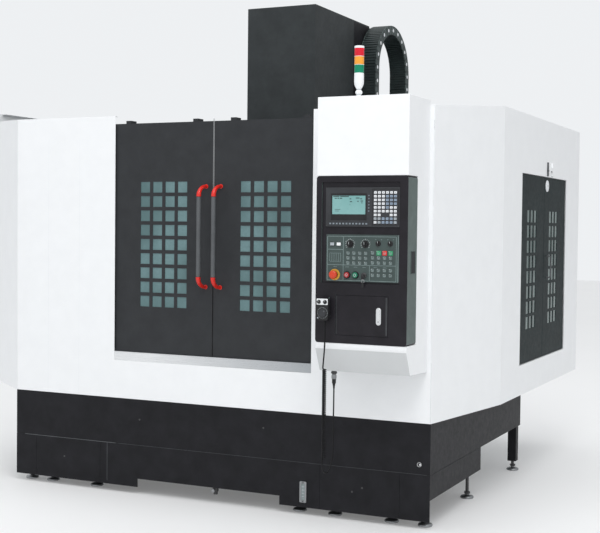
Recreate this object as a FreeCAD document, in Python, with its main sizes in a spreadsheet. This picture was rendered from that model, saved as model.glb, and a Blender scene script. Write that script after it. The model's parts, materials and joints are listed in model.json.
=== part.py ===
import FreeCAD, Part
import math
import os
import re

import Sketcher
from FreeCAD import Placement, Rotation, Vector

# Vertical machining center, millimetres.
# X runs to the right along the front, Y to the back, Z up from the floor.
# In the expressions below X = 0 is the spindle's centre line, Y = 0 the front
# plane of the enclosure and Z = 0 the floor.  Each body is then moved by
# SHIFT_X and SHIFT_Y, which put the origin under the middle of the machine.

SIZES = {
    # enclosure in plan
    "right_reach": 1307,
    "left_reach": 1365,
    "right_wing_out": 131,
    "right_wing_back": 840,
    "left_wing_out": 358,
    "left_wing_back": 258,
    "body_depth": 2840,
    "right_wing_length": "=sqrt(right_wing_out ^ 2 + right_wing_back ^ 2)",
    "left_wing_length": "=sqrt(left_wing_out ^ 2 + left_wing_back ^ 2)",
    # enclosure in height
    "white_bottom": 556,
    "front_top": 2205,
    "side_top": 2275,
    "sheet": 3,
    "fold": 28,
    "seam": 0.5,
    "slide_gap": 0.4,
    "pivot_gap": 0.08,
    # doorway and sliding doors
    "opening_left": 653,
    "opening_right": 620,
    "door_bottom": 831,
    "door_top": 2160,
    "door_width": 690,
    "door_gap": 3,
    "door_back": 10,
    "door_fold": 26,
    "hanger_inset": 120,
    "hanger_width": 34,
    "sill_height": 52,
    "sill_depth": 70,
    "rail_height": 46,
    "rail_depth": 40,
    "cell": 62.5,
    "cell_pitch_x": 83,
    "cell_pitch_z": 82.5,
    "cell_columns": 4,
    "cell_rows": 9,
    "grid_bottom": 1099,
    "grid_centre": 328,
    "grid_margin": 14,
    "pane": 5,
    # door grips
    "grip_offset": 47,
    "grip_radius": 12.5,
    "grip_stand": 84,
    "grip_bottom": 1278,
    "grip_top": 1740,
    "elbow": 44,
    "elbow_width": 27,
    # side doors
    "side_door_front": 1255,
    "side_door_length": 1180,
    "side_door_bottom": 739,
    "side_door_top": 1913,
    "side_door_back": 8,
    "side_leaf_gap": 3,
    "leaf_thick": 18,
    "pin_radius": 5,
    "side_cell_height": 76,
    "side_cell_pitch_z": 95,
    "side_cell_columns": 3,
    "side_cell_rows": 8,
    "side_grid_bottom": 949,
    "side_grid_front": 1420,
    "side_grid_rear": 1985,
    "side_handle_reach": 34,
    "side_handle_height": 157,
    "side_handle_bottom": 1248,
    "side_handle_from_split": 85,
    # black base
    "skirt_bottom": 288,
    "skirt_side_bottom": 277,
    "skirt_length": 1800,
    "skirt_wall": 4,
    "leg_width": 55,
    "leg_bottom": 62,
    "pan_flat": 270,
    "pan_low": 440,
    "tank_front_bottom": 42,
    "tank_middle_bottom": 91,
    "tank_bottom": 155,
    "tank_side_top": 430,
    "tank_depth": 910,
    "tank_step_left": 487,
    "tank_step_right": 437,
    "tank_notch_half": 500,
    "tank_notch_front": 400,
    "gauge_left": 561,
    "gauge_width": 43,
    "gauge_bottom": 68,
    "gauge_height": 118,
    "drain_x": 14,
    "foot_radius": 39,
    "foot_height": 14,
    "stem_radius": 11,
    "foot_inset": 53,
    "foot_back": 88,
    # bed, column and ways
    "bed_half": 480,
    "bed_top_half": 400,
    "bed_front": 430,
    "bed_from_back": 280,
    "bed_rear": "=body_depth - bed_from_back",
    "bed_bottom": 62,
    "bed_shoulder": 420,
    "bed_top": 640,
    "trough_half": 130,
    "trough_depth": 110,
    "column_depth": 600,
    "column_from_back": 110,
    "column_front": "=bed_rear - column_from_back - column_depth",
    "column_half": 225,
    "column_foot_half": 380,
    "column_neck": 1500,
    "column_top": 2380,
    "column_slot_half": 80,
    "column_slot_depth": 110,
    "way_width": 45,
    "way_height": 38,
    "y_way_offset": 300,
    "x_way_offset": 230,
    "z_way_offset": 160,
    "way_clearance": 0.3,
    "screw_radius": 20,
    # saddle and table
    "throat": 770,
    "table_centre_y": "=column_front - throat",
    "saddle_half_x": 680,
    "saddle_length_y": 700,
    "saddle_bottom": 700,
    "saddle_top": 800,
    "truck_width": 100,
    "truck_length": 120,
    "truck_spread": 110,
    "table_half_x": 700,
    "table_width_y": 600,
    "table_bottom": 910,
    "table_top": 1000,
    "slot_width": 18,
    "slot_neck": 20,
    "slot_wide": 32,
    "slot_foot": 15,
    "slot_pitch": 100,
    "slot_count": 5,
    # head
    "head_fit": 0.3,
    "head_nose": 200,
    "head_front": "=table_centre_y - head_nose",
    "head_standoff": 74,
    "head_rear": "=column_front - head_standoff",
    "head_bottom": 1860,
    "head_top": 2360,
    "nose_bottom": 1780,
    "nose_radius": 64,
    "spindle_radius": 44,
    "spindle_fit": 0.3,
    "spindle_length": 420,
    "taper_mouth": 20,
    "taper_depth": 65,
    "motor_radius": 130,
    "motor_height": 440,
    "cover_half": 235,
    "cover_lap": 30,
    "cover_front": "=head_front - cover_lap",
    "cover_depth": 610,
    "cover_bottom": 1900,
    "cover_top": 2941,
    "cover_arm": 270,
    # cable chain
    "chain_left": 240,
    "chain_width": 122,
    "chain_thick": 62,
    "chain_radius": 284,
    "chain_behind": 7,
    "chain_axis_y": "=column_front + chain_behind",
    "chain_axis_z": 2640,
    "chain_pitch": 89.22,
    "chain_leg_links": 7,
    "chain_wall": 7,
    "tray_wall": 3,
    "tray_gap": 0.5,
    "tray_height": 360,
    # tool magazine
    "beam_standoff": 410,
    "beam_front": "=column_front - beam_standoff",
    "beam_depth": 80,
    "beam_bottom": 1800,
    "beam_height": 60,
    "beam_end": 900,
    "beam_side": 250,
    "carousel_x": 600,
    "carousel_radius": 300,
    "carousel_bottom": 1700,
    "carousel_thick": 24,
    "pocket_count": 12,
    "hub_radius": 20,
    # control pod
    "pod_left": 785,
    "pod_width": 496,
    "pod_out": 309,
    "pod_top": 2230,
    "pod_bottom": 823,
    "housing_bottom": 984,
    "housing_top": 1829,
    "housing_depth": 132,
    "tray_lip": 952,
    "tray_taper": 59,
    "tray_bottom": 832,
    "bezel_margin": 30,
    "bezel_right": 44,
    "bezel_depth": 8,
    "bezel_bottom": 1288,
    "housing_round": 14,
    # screen and keys
    "screen_unit_left": 836,
    "screen_unit_width": 400,
    "screen_unit_bottom": 1574,
    "screen_unit_height": 198,
    "screen_left": 871,
    "screen_width": 181,
    "screen_bottom": 1636,
    "screen_height": 95,
    "key_left": 1099,
    "key_bottom": 1591,
    "key_pitch_x": 21.3,
    "key_pitch_z": 18.6,
    "key_size": 15,
    "key_height": 2.5,
    # operation plate
    "plate_left": 840,
    "plate_width": 396,
    "plate_bottom": 1297,
    "plate_height": 238,
    "plate_thick": 4,
    "small_key": 18,
    "small_key_pitch": 30,
    "key_row_pitch": 25,
    "knob_row": 1487,
    "feed_knob_x": 972,
    "spindle_knob_x": 1055,
    "knob_radius": 15,
    "knob_reach": 20,
    "selector_x": 1124,
    "selector_pitch": 64,
    "button_row": 1331,
    "stop_x": 889,
    "stop_radius": 22,
    "stop_reach": 34,
    "stop_travel": 5,
    "button_travel": 2.5,
    "red_button_x": 957,
    "green_button_x": 1003,
    "key_switch_x": 1049,
    "button_radius": 14,
    "button_reach": 11,
    "button_seat": 0.3,
    "stem_pin": 4,
    # flap below the controls
    "flap_left": 898,
    "flap_width": 283,
    "flap_bottom": 1026,
    "flap_height": 201,
    "flap_thick": 14,
    "flap_gap": 1.5,
    "flap_pin": 3.5,
    "flap_pin_radius": 2.5,
    "latch_width": 33,
    "latch_height": 88,
    "latch_from_right": 32,
    "latch_bottom": 1083,
    "latch_thick": 5,
    # handset and its cord
    "handset_left": 812,
    "handset_width": 64,
    "handset_bottom": 1099,
    "handset_height": 111,
    "gland_across": 42,
    "handset_reach": 62,
    "handset_thick": 42,
    "dial_radius": 26,
    "dial_reach": 12,
    "cord_radius": 3.5,
    "curl_wire": 3.8,
    "curl_mean_radius": 7.8,
    "curl_count": 46,
    # signal tower
    "tower_x": 944,
    "tower_y": 150,
    "tower_radius": 28,
    "lens_height": 45,
}

doc = FreeCAD.newDocument("MachiningCenter")
sheet = doc.addObject("Spreadsheet::Sheet", "Sizes")
for row, (alias, value) in enumerate(SIZES.items(), start=1):
    sheet.set("A%d" % row, alias)
    sheet.set("B%d" % row, str(value))
    sheet.setAlias("B%d" % row, alias)
doc.recompute()

SHIFT_X = ("(left_reach + left_wing_out - right_reach - right_wing_out"
           " + side_door_back - side_handle_reach) / 2")
SHIFT_Y = "(pod_out + handset_reach - body_depth) / 2"
ZERO = "0"
WORD = re.compile(r"[a-z][a-z_]+")
parts = []


def bound(text):
    """An expression in which each size's name points at its cell."""
    return WORD.sub(lambda m: "Sizes." + m.group(0) if m.group(0) in SIZES else m.group(0), str(text))


def size(alias):
    return float(getattr(sheet, alias))


# ---------------------------------------------------------------- building

def place(body, x=ZERO, y=ZERO, z=ZERO, rotation=Rotation()):
    body.Placement = Placement(Vector(0, 0, 0), rotation)
    body.setExpression("Placement.Base.x", bound("%s + %s" % (SHIFT_X, x)))
    body.setExpression("Placement.Base.y", bound("%s + %s" % (SHIFT_Y, y)))
    body.setExpression("Placement.Base.z", bound(z))


def new_body(label, x=ZERO, y=ZERO, z=ZERO, rotation=Rotation()):
    body = doc.addObject("PartDesign::Body", label)
    body.Label = label
    place(body, x, y, z, rotation)
    parts.append(body)
    return body


def plane_of(body, role):
    return [f for f in body.Origin.OriginFeatures if f.Role == role][0]


def sketch_on(body, role, at=ZERO):
    """A sketch on the plane that crosses its own axis at this coordinate."""
    sketch = body.newObject("Sketcher::SketchObject", body.Label + "_sketch")
    sketch.AttachmentSupport = (plane_of(body, role), [""])
    sketch.MapMode = "FlatFace"
    sign = "-" if role == "XZ_Plane" else ""
    sketch.setExpression("AttachmentOffset.Base.z", bound("%s(%s)" % (sign, at)))
    return sketch


def bind(sketch, kind, geometry, point, value, guess):
    index = sketch.addConstraint(Sketcher.Constraint(kind, -1, 1, geometry, point, guess))
    name = "%s_%d_%d" % (kind[-1].lower(), geometry, point)
    sketch.renameConstraint(index, name)
    sketch.setExpression("Constraints." + name, bound(value))


def polygon(sketch, corners):
    """A closed outline whose corners are bound to expressions."""
    count = len(corners)
    first = sketch.GeometryCount
    turn = 2 * math.pi / count
    rough = [Vector(50 * math.cos(turn * i), 50 * math.sin(turn * i), 0) for i in range(count)]
    for i in range(count):
        sketch.addGeometry(Part.LineSegment(rough[i], rough[(i + 1) % count]), False)
    for i in range(count):
        follower = first + (i + 1) % count
        sketch.addConstraint(Sketcher.Constraint("Coincident", first + i, 2, follower, 1))
    for i, (across, up) in enumerate(corners):
        bind(sketch, "DistanceX", first + i, 1, across, rough[i].x)
        bind(sketch, "DistanceY", first + i, 1, up, rough[i].y)


def circle(sketch, across, up, radius):
    geometry = sketch.addGeometry(Part.Circle(Vector(1, 1, 0), Vector(0, 0, 1), 5), False)
    bind(sketch, "DistanceX", geometry, 3, across, 1)
    bind(sketch, "DistanceY", geometry, 3, up, 1)
    index = sketch.addConstraint(Sketcher.Constraint("Radius", geometry, 5))
    name = "radius_%d" % geometry
    sketch.renameConstraint(index, name)
    sketch.setExpression("Constraints." + name, bound(radius))


def rectangle(x0, y0, x1, y1):
    return [(x0, y0), (x1, y0), (x1, y1), (x0, y1)]


def raise_sketch(body, sketch, length):
    """Pads the sketch along the positive world axis."""
    pad = body.newObject("PartDesign::Pad", body.Label + "_pad")
    pad.Profile = sketch
    pad.setExpression("Length", bound(length))
    pad.Reversed = sketch.AttachmentSupport[0][0].Role == "XZ_Plane"
    body.Tip = pad
    return pad


def cut_sketch(body, sketch, length):
    """Cuts the sketch along the positive world axis."""
    pocket = body.newObject("PartDesign::Pocket", body.Label + "_pocket")
    pocket.Profile = sketch
    pocket.setExpression("Length", bound(length))
    pocket.Reversed = sketch.AttachmentSupport[0][0].Role != "XZ_Plane"
    body.Tip = pocket
    return pocket


def pad(body, role, at, length, *outlines):
    sketch = sketch_on(body, role, at)
    for corners in outlines:
        polygon(sketch, corners)
    return raise_sketch(body, sketch, length)


def cut(body, role, at, length, *outlines):
    sketch = sketch_on(body, role, at)
    for corners in outlines:
        polygon(sketch, corners)
    return cut_sketch(body, sketch, length)


def discs(body, role, at, length, radius, centres):
    sketch = sketch_on(body, role, at)
    for across, up in centres:
        circle(sketch, across, up, radius)
    return raise_sketch(body, sketch, length)


def bores(body, role, at, length, radius, centres):
    sketch = sketch_on(body, role, at)
    for across, up in centres:
        circle(sketch, across, up, radius)
    return cut_sketch(body, sketch, length)


def grid(body, feature, across, columns, up=None, rows=None):
    """Repeats a feature along its sketch's two axes."""
    sketch = feature.Profile[0]
    pattern = body.newObject("PartDesign::LinearPattern", body.Label + "_grid")
    pattern.Originals = [feature]
    pattern.Direction = (sketch, ["H_Axis"])
    pattern.setExpression("Length", bound("(%s) * ((%s) - 1)" % (across, columns)))
    pattern.setExpression("Occurrences", bound(columns))
    if rows:
        pattern.Direction2 = (sketch, ["V_Axis"])
        pattern.setExpression("Length2", bound("(%s) * ((%s) - 1)" % (up, rows)))
        pattern.setExpression("Occurrences2", bound(rows))
    body.Tip = pattern
    return pattern


def ring(body, feature, count):
    """Repeats a feature round the body's Z axis."""
    pattern = body.newObject("PartDesign::PolarPattern", body.Label + "_ring")
    pattern.Originals = [feature]
    axis = [f for f in body.Origin.OriginFeatures if f.Role == "Z_Axis"][0]
    pattern.Axis = (axis, [""])
    pattern.Angle = 360
    pattern.setExpression("Occurrences", bound(count))
    body.Tip = pattern
    return pattern


def turn(body, corners):
    """Revolves a half section, drawn as radius and height, round the Z axis."""
    sketch = sketch_on(body, "XZ_Plane")
    polygon(sketch, corners)
    revolution = body.newObject("PartDesign::Revolution", body.Label + "_turn")
    revolution.Profile = sketch
    revolution.ReferenceAxis = (sketch, ["V_Axis"])
    revolution.Angle = 360
    body.Tip = revolution
    return revolution


def channel(front, back, low, high, wall):
    """Section of a sheet folded back along its lower and upper edges."""
    return [
        (front, low),
        (back, low),
        (back, "%s + %s" % (low, wall)),
        ("%s + %s" % (front, wall), "%s + %s" % (low, wall)),
        ("%s + %s" % (front, wall), "%s - %s" % (high, wall)),
        (back, "%s - %s" % (high, wall)),
        (back, high),
        (front, high),
    ]


TO_FRONT = Rotation(Vector(1, 0, 0), 90)


# ---------------------------------------------------------------- base

def build_bed():
    """Cast bed with sloping shoulders, a trough for the screw between its ways and ribbed sides."""
    bed = new_body("bed")
    section = [
        ("-bed_half", "bed_bottom"),
        ("bed_half", "bed_bottom"),
        ("bed_half", "bed_shoulder"),
        ("bed_top_half", "bed_top"),
        ("-bed_top_half", "bed_top"),
        ("-bed_half", "bed_shoulder"),
    ]
    pad(bed, "XZ_Plane", "bed_front", "bed_rear - bed_front", section)
    trough = rectangle("-trough_half", "bed_top - trough_depth", "trough_half", "bed_top + 1")
    cut(bed, "XZ_Plane", "bed_front - 1", "column_front - bed_front - 19", trough)
    window = rectangle("bed_front + 120", "bed_bottom + 80", "bed_front + 420", "bed_shoulder - 60")
    pocket = cut(bed, "YZ_Plane", "-bed_half", "60", window)
    grid(bed, pocket, "480", "4")
    window = rectangle("bed_front + 120", "bed_bottom + 80", "bed_front + 420", "bed_shoulder - 60")
    pocket = cut(bed, "YZ_Plane", "bed_half - 60", "60", window)
    grid(bed, pocket, "480", "4")


def build_column():
    """Cast column, wide at the foot, with a slot for the screw, a hollow back and the chain's tray."""
    column = new_body("column")
    face = [
        ("-column_foot_half", "bed_top"),
        ("column_foot_half", "bed_top"),
        ("column_foot_half", "column_neck - 400"),
        ("column_half", "column_neck"),
        ("column_half", "column_top"),
        ("-column_half", "column_top"),
        ("-column_half", "column_neck"),
        ("-column_foot_half", "column_neck - 400"),
    ]
    pad(column, "XZ_Plane", "column_front", "column_depth", face)
    slot = rectangle("-column_slot_half", "bed_top + 200", "column_slot_half", "column_top + 1")
    cut(column, "XZ_Plane", "column_front - 1", "column_slot_depth + 1", slot)
    hollow = rectangle("-column_half + 60", "bed_top + 160", "column_half - 60", "column_neck")
    upper = rectangle("-column_half + 60", "column_neck + 60", "column_half - 60", "column_top - 80")
    cut(column, "XZ_Plane", "column_front + column_slot_depth + 60", "column_depth", hollow, upper)
    near = "chain_axis_y + chain_radius - chain_thick / 2 - tray_gap"
    far = "chain_axis_y + chain_radius + chain_thick / 2 + tray_gap"
    outer = "chain_left + chain_width + 4"
    inner = "chain_left - 3"
    plan = [
        ("column_half", "%s - tray_wall" % near),
        (outer, "%s - tray_wall" % near),
        (outer, near),
        (inner, near),
        (inner, far),
        (outer, far),
        (outer, "%s + tray_wall" % far),
        ("column_half", "%s + tray_wall" % far),
    ]
    low = "chain_axis_z - chain_leg_links * chain_pitch - 340"
    pad(column, "XY_Plane", low, "tray_height + 20", plan)


def build_ways():
    """Profile ways and screws that the bed and the column carry."""
    ways = new_body("fixed_ways")
    left = rectangle("-y_way_offset - way_width / 2", "bed_top", "-y_way_offset + way_width / 2",
                     "bed_top + way_height")
    right = rectangle("y_way_offset - way_width / 2", "bed_top", "y_way_offset + way_width / 2",
                      "bed_top + way_height")
    pad(ways, "XZ_Plane", "bed_front + 10", "column_front - bed_front - 60", left, right)
    left = rectangle("-z_way_offset - way_width / 2", "column_front - way_height",
                     "-z_way_offset + way_width / 2", "column_front")
    right = rectangle("z_way_offset - way_width / 2", "column_front - way_height",
                      "z_way_offset + way_width / 2", "column_front")
    pad(ways, "XY_Plane", "bed_top + 460", "column_top - bed_top - 470", left, right)
    discs(ways, "XZ_Plane", "bed_front + 10", "column_front - bed_front - 30", "screw_radius",
          [(ZERO, "bed_top - trough_depth / 2")])
    discs(ways, "XY_Plane", "bed_top + 200", "column_top - bed_top - 220", "screw_radius",
          [(ZERO, "column_front + column_slot_depth / 2")])


def build_skirt():
    """Black base cover round the front and sides, with a leg at each rear corner."""
    skirt = new_body("base_skirt")
    inner_left = "-left_reach + skirt_wall"
    inner_right = "right_reach - skirt_wall"
    plan = [
        ("-left_reach", ZERO),
        ("right_reach", ZERO),
        ("right_reach", "skirt_length"),
        (inner_right, "skirt_length"),
        (inner_right, "skirt_wall"),
        (inner_left, "skirt_wall"),
        (inner_left, "skirt_length"),
        ("-left_reach", "skirt_length"),
    ]
    pad(skirt, "XY_Plane", "skirt_bottom", "white_bottom - seam - skirt_bottom", plan)
    right_leg = rectangle("right_reach - skirt_wall - leg_width", "skirt_length - 30 - leg_width",
                          "right_reach - skirt_wall", "skirt_length - 30")
    left_leg = rectangle("-left_reach + skirt_wall", "skirt_length - 30 - leg_width",
                         "-left_reach + skirt_wall + leg_width", "skirt_length - 30")
    pad(skirt, "XY_Plane", "leg_bottom", "white_bottom - seam - leg_bottom", right_leg, left_leg)
    shelf = rectangle("-left_reach + skirt_wall", "white_bottom - seam - skirt_wall",
                      "right_reach - skirt_wall", "white_bottom - seam")
    pad(skirt, "XZ_Plane", "skirt_wall", "fold", shelf)


def build_tank():
    """Coolant tank in the shape of a U round the bed, with a deep front plate in three steps."""
    tank = new_body("coolant_tank")
    front = [
        ("-left_reach", "tank_front_bottom"),
        ("-tank_step_left", "tank_front_bottom"),
        ("-tank_step_left", "tank_middle_bottom"),
        ("tank_step_right", "tank_middle_bottom"),
        ("tank_step_right", "tank_front_bottom"),
        ("right_reach", "tank_front_bottom"),
        ("right_reach", "skirt_bottom - seam"),
        ("-left_reach", "skirt_bottom - seam"),
    ]
    pad(tank, "XZ_Plane", ZERO, "skirt_wall", front)
    plan = [
        ("-left_reach", "skirt_wall"),
        ("right_reach", "skirt_wall"),
        ("right_reach", "tank_depth"),
        ("tank_notch_half", "tank_depth"),
        ("tank_notch_half", "tank_notch_front"),
        ("-tank_notch_half", "tank_notch_front"),
        ("-tank_notch_half", "tank_depth"),
        ("-left_reach", "tank_depth"),
    ]
    pad(tank, "XY_Plane", "tank_bottom", "skirt_bottom - seam - tank_bottom", plan)
    for edge in ("-left_reach + 151", "-left_reach + 616", "right_reach - 627", "right_reach - 168"):
        groove = rectangle("%s - seam" % edge, "-1", "%s + seam" % edge, "skirt_wall / 2")
        cut(tank, "XY_Plane", "tank_front_bottom - 1", "skirt_bottom", groove)


def build_fittings():
    """Coolant gauge on the tank's front and the drain valve under its middle."""
    fittings = new_body("tank_fittings")
    plate = rectangle("gauge_left", "gauge_bottom", "gauge_left + gauge_width",
                      "gauge_bottom + gauge_height")
    pad(fittings, "XZ_Plane", "-6", "6", plate)
    slot = rectangle("gauge_left + 12", "gauge_bottom + 14", "gauge_left + gauge_width - 12",
                     "gauge_bottom + gauge_height - 14")
    cut(fittings, "XZ_Plane", "-6", "3", slot)
    pad(fittings, "XY_Plane", "tank_front_bottom + 4", "tank_bottom - tank_front_bottom - 4",
        regular("drain_x", "40", "11", 12))
    pad(fittings, "XY_Plane", "tank_front_bottom + 22", "24", regular("drain_x", "40", "17", 6))


def build_feet():
    """Levelling pads with hexagonal jack screws under the tank, the bed and the skirt's legs."""
    feet = new_body("levelling_feet")
    front = ["-left_reach + foot_inset", "-left_reach + 211", "-left_reach + 534", "right_reach - 784",
             "right_reach - 571", "right_reach - 241", "right_reach - foot_inset"]
    tank_feet = [(x, "foot_back") for x in front]
    tank_feet += [("-left_reach + foot_inset", "tank_depth - foot_back"),
                  ("right_reach - foot_inset", "tank_depth - foot_back")]
    bed_feet = [(side + "(bed_half - 60)", y) for side in ("", "-")
                for y in ("bed_front + 90", "bed_rear - 90")]
    leg_feet = [("right_reach - skirt_wall - leg_width / 2", "skirt_length - 30 - leg_width / 2"),
                ("-left_reach + skirt_wall + leg_width / 2", "skirt_length - 30 - leg_width / 2")]
    for centres, top in ((tank_feet, "tank_bottom"), (bed_feet, "bed_bottom"), (leg_feet, "leg_bottom")):
        for x, y in centres:
            pad(feet, "XY_Plane", ZERO, "foot_height", regular(x, y, "foot_radius", 12))
            pad(feet, "XY_Plane", "foot_height", "%s - foot_height" % top,
                regular(x, y, "stem_radius", 6))


def regular(x, y, radius, sides):
    """Regular outline round a point, measured to its corners."""
    step = 360 / sides
    return [("%s + (%s) * cos(%.6f deg)" % (x, radius, step * i),
             "%s + (%s) * sin(%.6f deg)" % (y, radius, step * i)) for i in range(sides)]


def build_pan():
    """Base pan that closes the enclosure's bottom and slopes down to the bed on both sides."""
    pan = new_body("base_pan")
    left = "-left_reach - left_wing_out + sheet"
    right = "right_reach + right_wing_out - sheet"
    low_half = "bed_half + 5"
    upper = [
        (left, "white_bottom + sheet"),
        ("-left_reach + pan_flat", "white_bottom + sheet"),
        ("-(%s)" % low_half, "pan_low + sheet"),
        (low_half, "pan_low + sheet"),
        ("right_reach - pan_flat", "white_bottom + sheet"),
        (right, "white_bottom + sheet"),
    ]
    lower = [(x, z.replace("+ sheet", "+ 0")) for x, z in reversed(upper)]
    front = "skirt_wall + fold + seam"
    rear = "body_depth - sheet"
    pad(pan, "XZ_Plane", front, "%s - (%s)" % (rear, front), upper + lower)
    hole = rectangle("-bed_half - slide_gap", "bed_front - slide_gap", "bed_half + slide_gap",
                     "bed_rear + slide_gap")
    cut(pan, "XY_Plane", "pan_low - 10", "400", hole)
    slack = "2 * sheet"
    beyond = "right_wing_out + 4 * sheet"
    right_corner = [
        ("right_reach - %s" % slack, ZERO),
        ("right_reach + %s" % beyond, ZERO),
        ("right_reach + %s" % beyond, "(%s + %s) * right_wing_back / right_wing_out" % (beyond, slack)),
    ]
    beyond = "left_wing_out + 4 * sheet"
    left_corner = [
        ("-left_reach + %s" % slack, ZERO),
        ("-left_reach - (%s)" % beyond, "(%s + %s) * left_wing_back / left_wing_out" % (beyond, slack)),
        ("-left_reach - (%s)" % beyond, ZERO),
    ]
    cut(pan, "XY_Plane", "pan_low - 10", "400", right_corner, left_corner)


# ---------------------------------------------------------------- enclosure

def build_front_frame():
    """White front panel, folded along its edges, with the doorway cut down from its top."""
    frame = new_body("front_frame")
    left = "-left_reach + sheet * left_wing_back / left_wing_length + seam"
    right = "right_reach - sheet * right_wing_back / right_wing_length - seam"
    pad(frame, "YZ_Plane", left, "%s - (%s)" % (right, left),
        channel(ZERO, "fold", "white_bottom", "front_top", "sheet"))
    doorway = rectangle("-opening_left", "door_bottom - sill_height", "opening_right", "front_top + 1")
    cut(frame, "XZ_Plane", "-1", "fold + 2", doorway)


def build_sill():
    """Brushed sill under the doors, with the rib that guides their lower edges from behind."""
    sill = new_body("door_sill")
    top = "door_bottom - slide_gap"
    low = "door_bottom - sill_height + seam"
    section = [
        (ZERO, low),
        ("sheet", low),
        ("sheet", "%s - sheet" % top),
        ("sill_depth", "%s - sheet" % top),
        ("sill_depth", top),
        (ZERO, top),
    ]
    pad(sill, "YZ_Plane", "-opening_left + seam", "opening_left + opening_right - 2 * seam", section)
    rib = rectangle("sheet + door_back + door_fold + slide_gap", top,
                    "sheet + door_back + door_fold + slide_gap + 3", "door_bottom + 14")
    pad(sill, "YZ_Plane", "-opening_left + seam", "opening_left + opening_right - 2 * seam", rib)


def build_door_rail():
    """Hanging rail behind the doors' upper edge, with an end bracket on each front panel."""
    rail = new_body("door_rail")
    front = "sheet + door_back + door_fold + slide_gap"
    section = channel(front, "%s + rail_depth" % front, "door_top - 30 - rail_height", "door_top - 30",
                      "sheet")
    pad(rail, "YZ_Plane", "-left_reach + 12", "left_reach + right_reach - 24", section)
    ends = [rectangle(x, "door_top - 30 - rail_height", x + " + sheet", "door_top - 30")
            for x in ("-left_reach + 12", "right_reach - 12 - sheet")]
    pad(rail, "XZ_Plane", "sheet", "door_back + door_fold + slide_gap", *ends)


def build_wing(label, x, y, length, angle, low_end, high_end):
    """Flat corner panel whose upper edge climbs from the front's height to the sides'."""
    wing = new_body(label, x, y)
    wing.Placement = Placement(Vector(0, 0, 0), Rotation(Vector(0, 0, 1), 45))
    wing.setExpression("Placement.Rotation.Angle", bound(angle))
    face = [(ZERO, "white_bottom"), (length, "white_bottom"), (length, high_end), (ZERO, low_end)]
    pad(wing, "XZ_Plane", ZERO, "sheet", face)
    return wing


def build_wings():
    build_wing("right_wing", "right_reach", ZERO, "right_wing_length",
               "atan2(right_wing_back; right_wing_out)", "front_top", "side_top")
    build_wing("left_wing", "-left_reach - left_wing_out", "left_wing_back", "left_wing_length",
               "360 deg - atan2(left_wing_back; left_wing_out)", "front_top + 20", "front_top")


def build_side(label, outer, inner_step, front, with_doorway):
    """Side panel with folded edges; the right one has the opening for the service doors."""
    side = new_body(label)
    sign = "" if inner_step == "right" else "-"
    face = "%s" % outer
    depth_start = "%s - sheet" % face if sign == "" else face
    plate = rectangle(front, "white_bottom", "body_depth", "side_top")
    pad(side, "YZ_Plane", depth_start, "sheet", plate)
    fold_start = "%s - fold" % face if sign == "" else "%s + sheet" % face
    hem = rectangle("%s + fold" % front, "side_top - sheet", "body_depth - fold", "side_top")
    pad(side, "YZ_Plane", fold_start, "fold - sheet", hem)
    if with_doorway:
        rear = "side_door_front + side_door_length"
        doorway = rectangle("side_door_front", "side_door_bottom", rear, "side_door_top")
        cut(side, "YZ_Plane", "%s - fold - 1" % face, "fold + 2", doorway)
        stop = [
            rectangle("side_door_front - 20", "side_door_bottom - 20", "side_door_front + 12",
                      "side_door_top + 20"),
            rectangle("%s - 12" % rear, "side_door_bottom - 20", "%s + 20" % rear, "side_door_top + 20"),
        ]
        pad(side, "YZ_Plane", "%s - side_door_back - 25" % face, "sheet", *stop)
        web = [
            rectangle("side_door_front - 20", "side_door_bottom - 20", "side_door_front - 17",
                      "side_door_top + 20"),
            rectangle("%s + 17" % rear, "side_door_bottom - 20", "%s + 20" % rear, "side_door_top + 20"),
        ]
        pad(side, "YZ_Plane", "%s - side_door_back - 22" % face, "side_door_back + 22 - sheet", *web)
        flange = rectangle("%s - side_door_back - 25" % face, "side_door_front - 17", face,
                           "%s + 17" % rear)
        for low in ("side_door_bottom - sheet", "side_door_top"):
            pad(side, "XY_Plane", low, "sheet", flange)
        pins = [("%s - side_door_back - leaf_thick / 2" % face, y) for y in (PIVOT_FRONT, PIVOT_REAR)]
        for low in ("side_door_bottom - sheet - 1", "side_door_top - 1"):
            bores(side, "XY_Plane", low, "sheet + 2", "pin_radius + pivot_gap", pins)
        middle = "side_door_front + side_door_length / 2 + 110"
        bracket = [
            rectangle("%s - 55" % middle, "side_door_top + 6", "%s - 30" % middle, "side_door_top + 96"),
            rectangle("%s + 30" % middle, "side_door_top + 6", "%s + 55" % middle, "side_door_top + 96"),
            rectangle("%s - 30" % middle, "side_door_top + 40", "%s + 30" % middle,
                      "side_door_top + 62"),
        ]
        for outline in bracket:
            pad(side, "YZ_Plane", face, "12", outline)


def build_sides():
    build_side("right_side", "right_reach + right_wing_out", "right",
               "right_wing_back + sheet * right_wing_out / right_wing_length + seam", True)
    build_side("left_side", "-left_reach - left_wing_out", "left",
               "left_wing_back + sheet * left_wing_out / left_wing_length + seam", False)


def build_rear():
    """Rear panel between the sides, with a recessed service hatch."""
    rear = new_body("rear_panel")
    left = "-left_reach - left_wing_out + sheet + seam"
    right = "right_reach + right_wing_out - sheet - seam"
    plate = rectangle(left, "white_bottom", right, "side_top")
    pad(rear, "XZ_Plane", "body_depth - sheet", "sheet", plate)
    hem = rectangle("%s + fold" % left, "side_top - sheet", "%s - fold" % right, "side_top")
    pad(rear, "XZ_Plane", "body_depth - fold", "fold - sheet", hem)
    hatch = rectangle("-620", "white_bottom + 180", "620", "side_top - 420")
    cut(rear, "XZ_Plane", "body_depth - sheet / 3", "sheet", hatch)


# ---------------------------------------------------------------- doors

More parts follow.
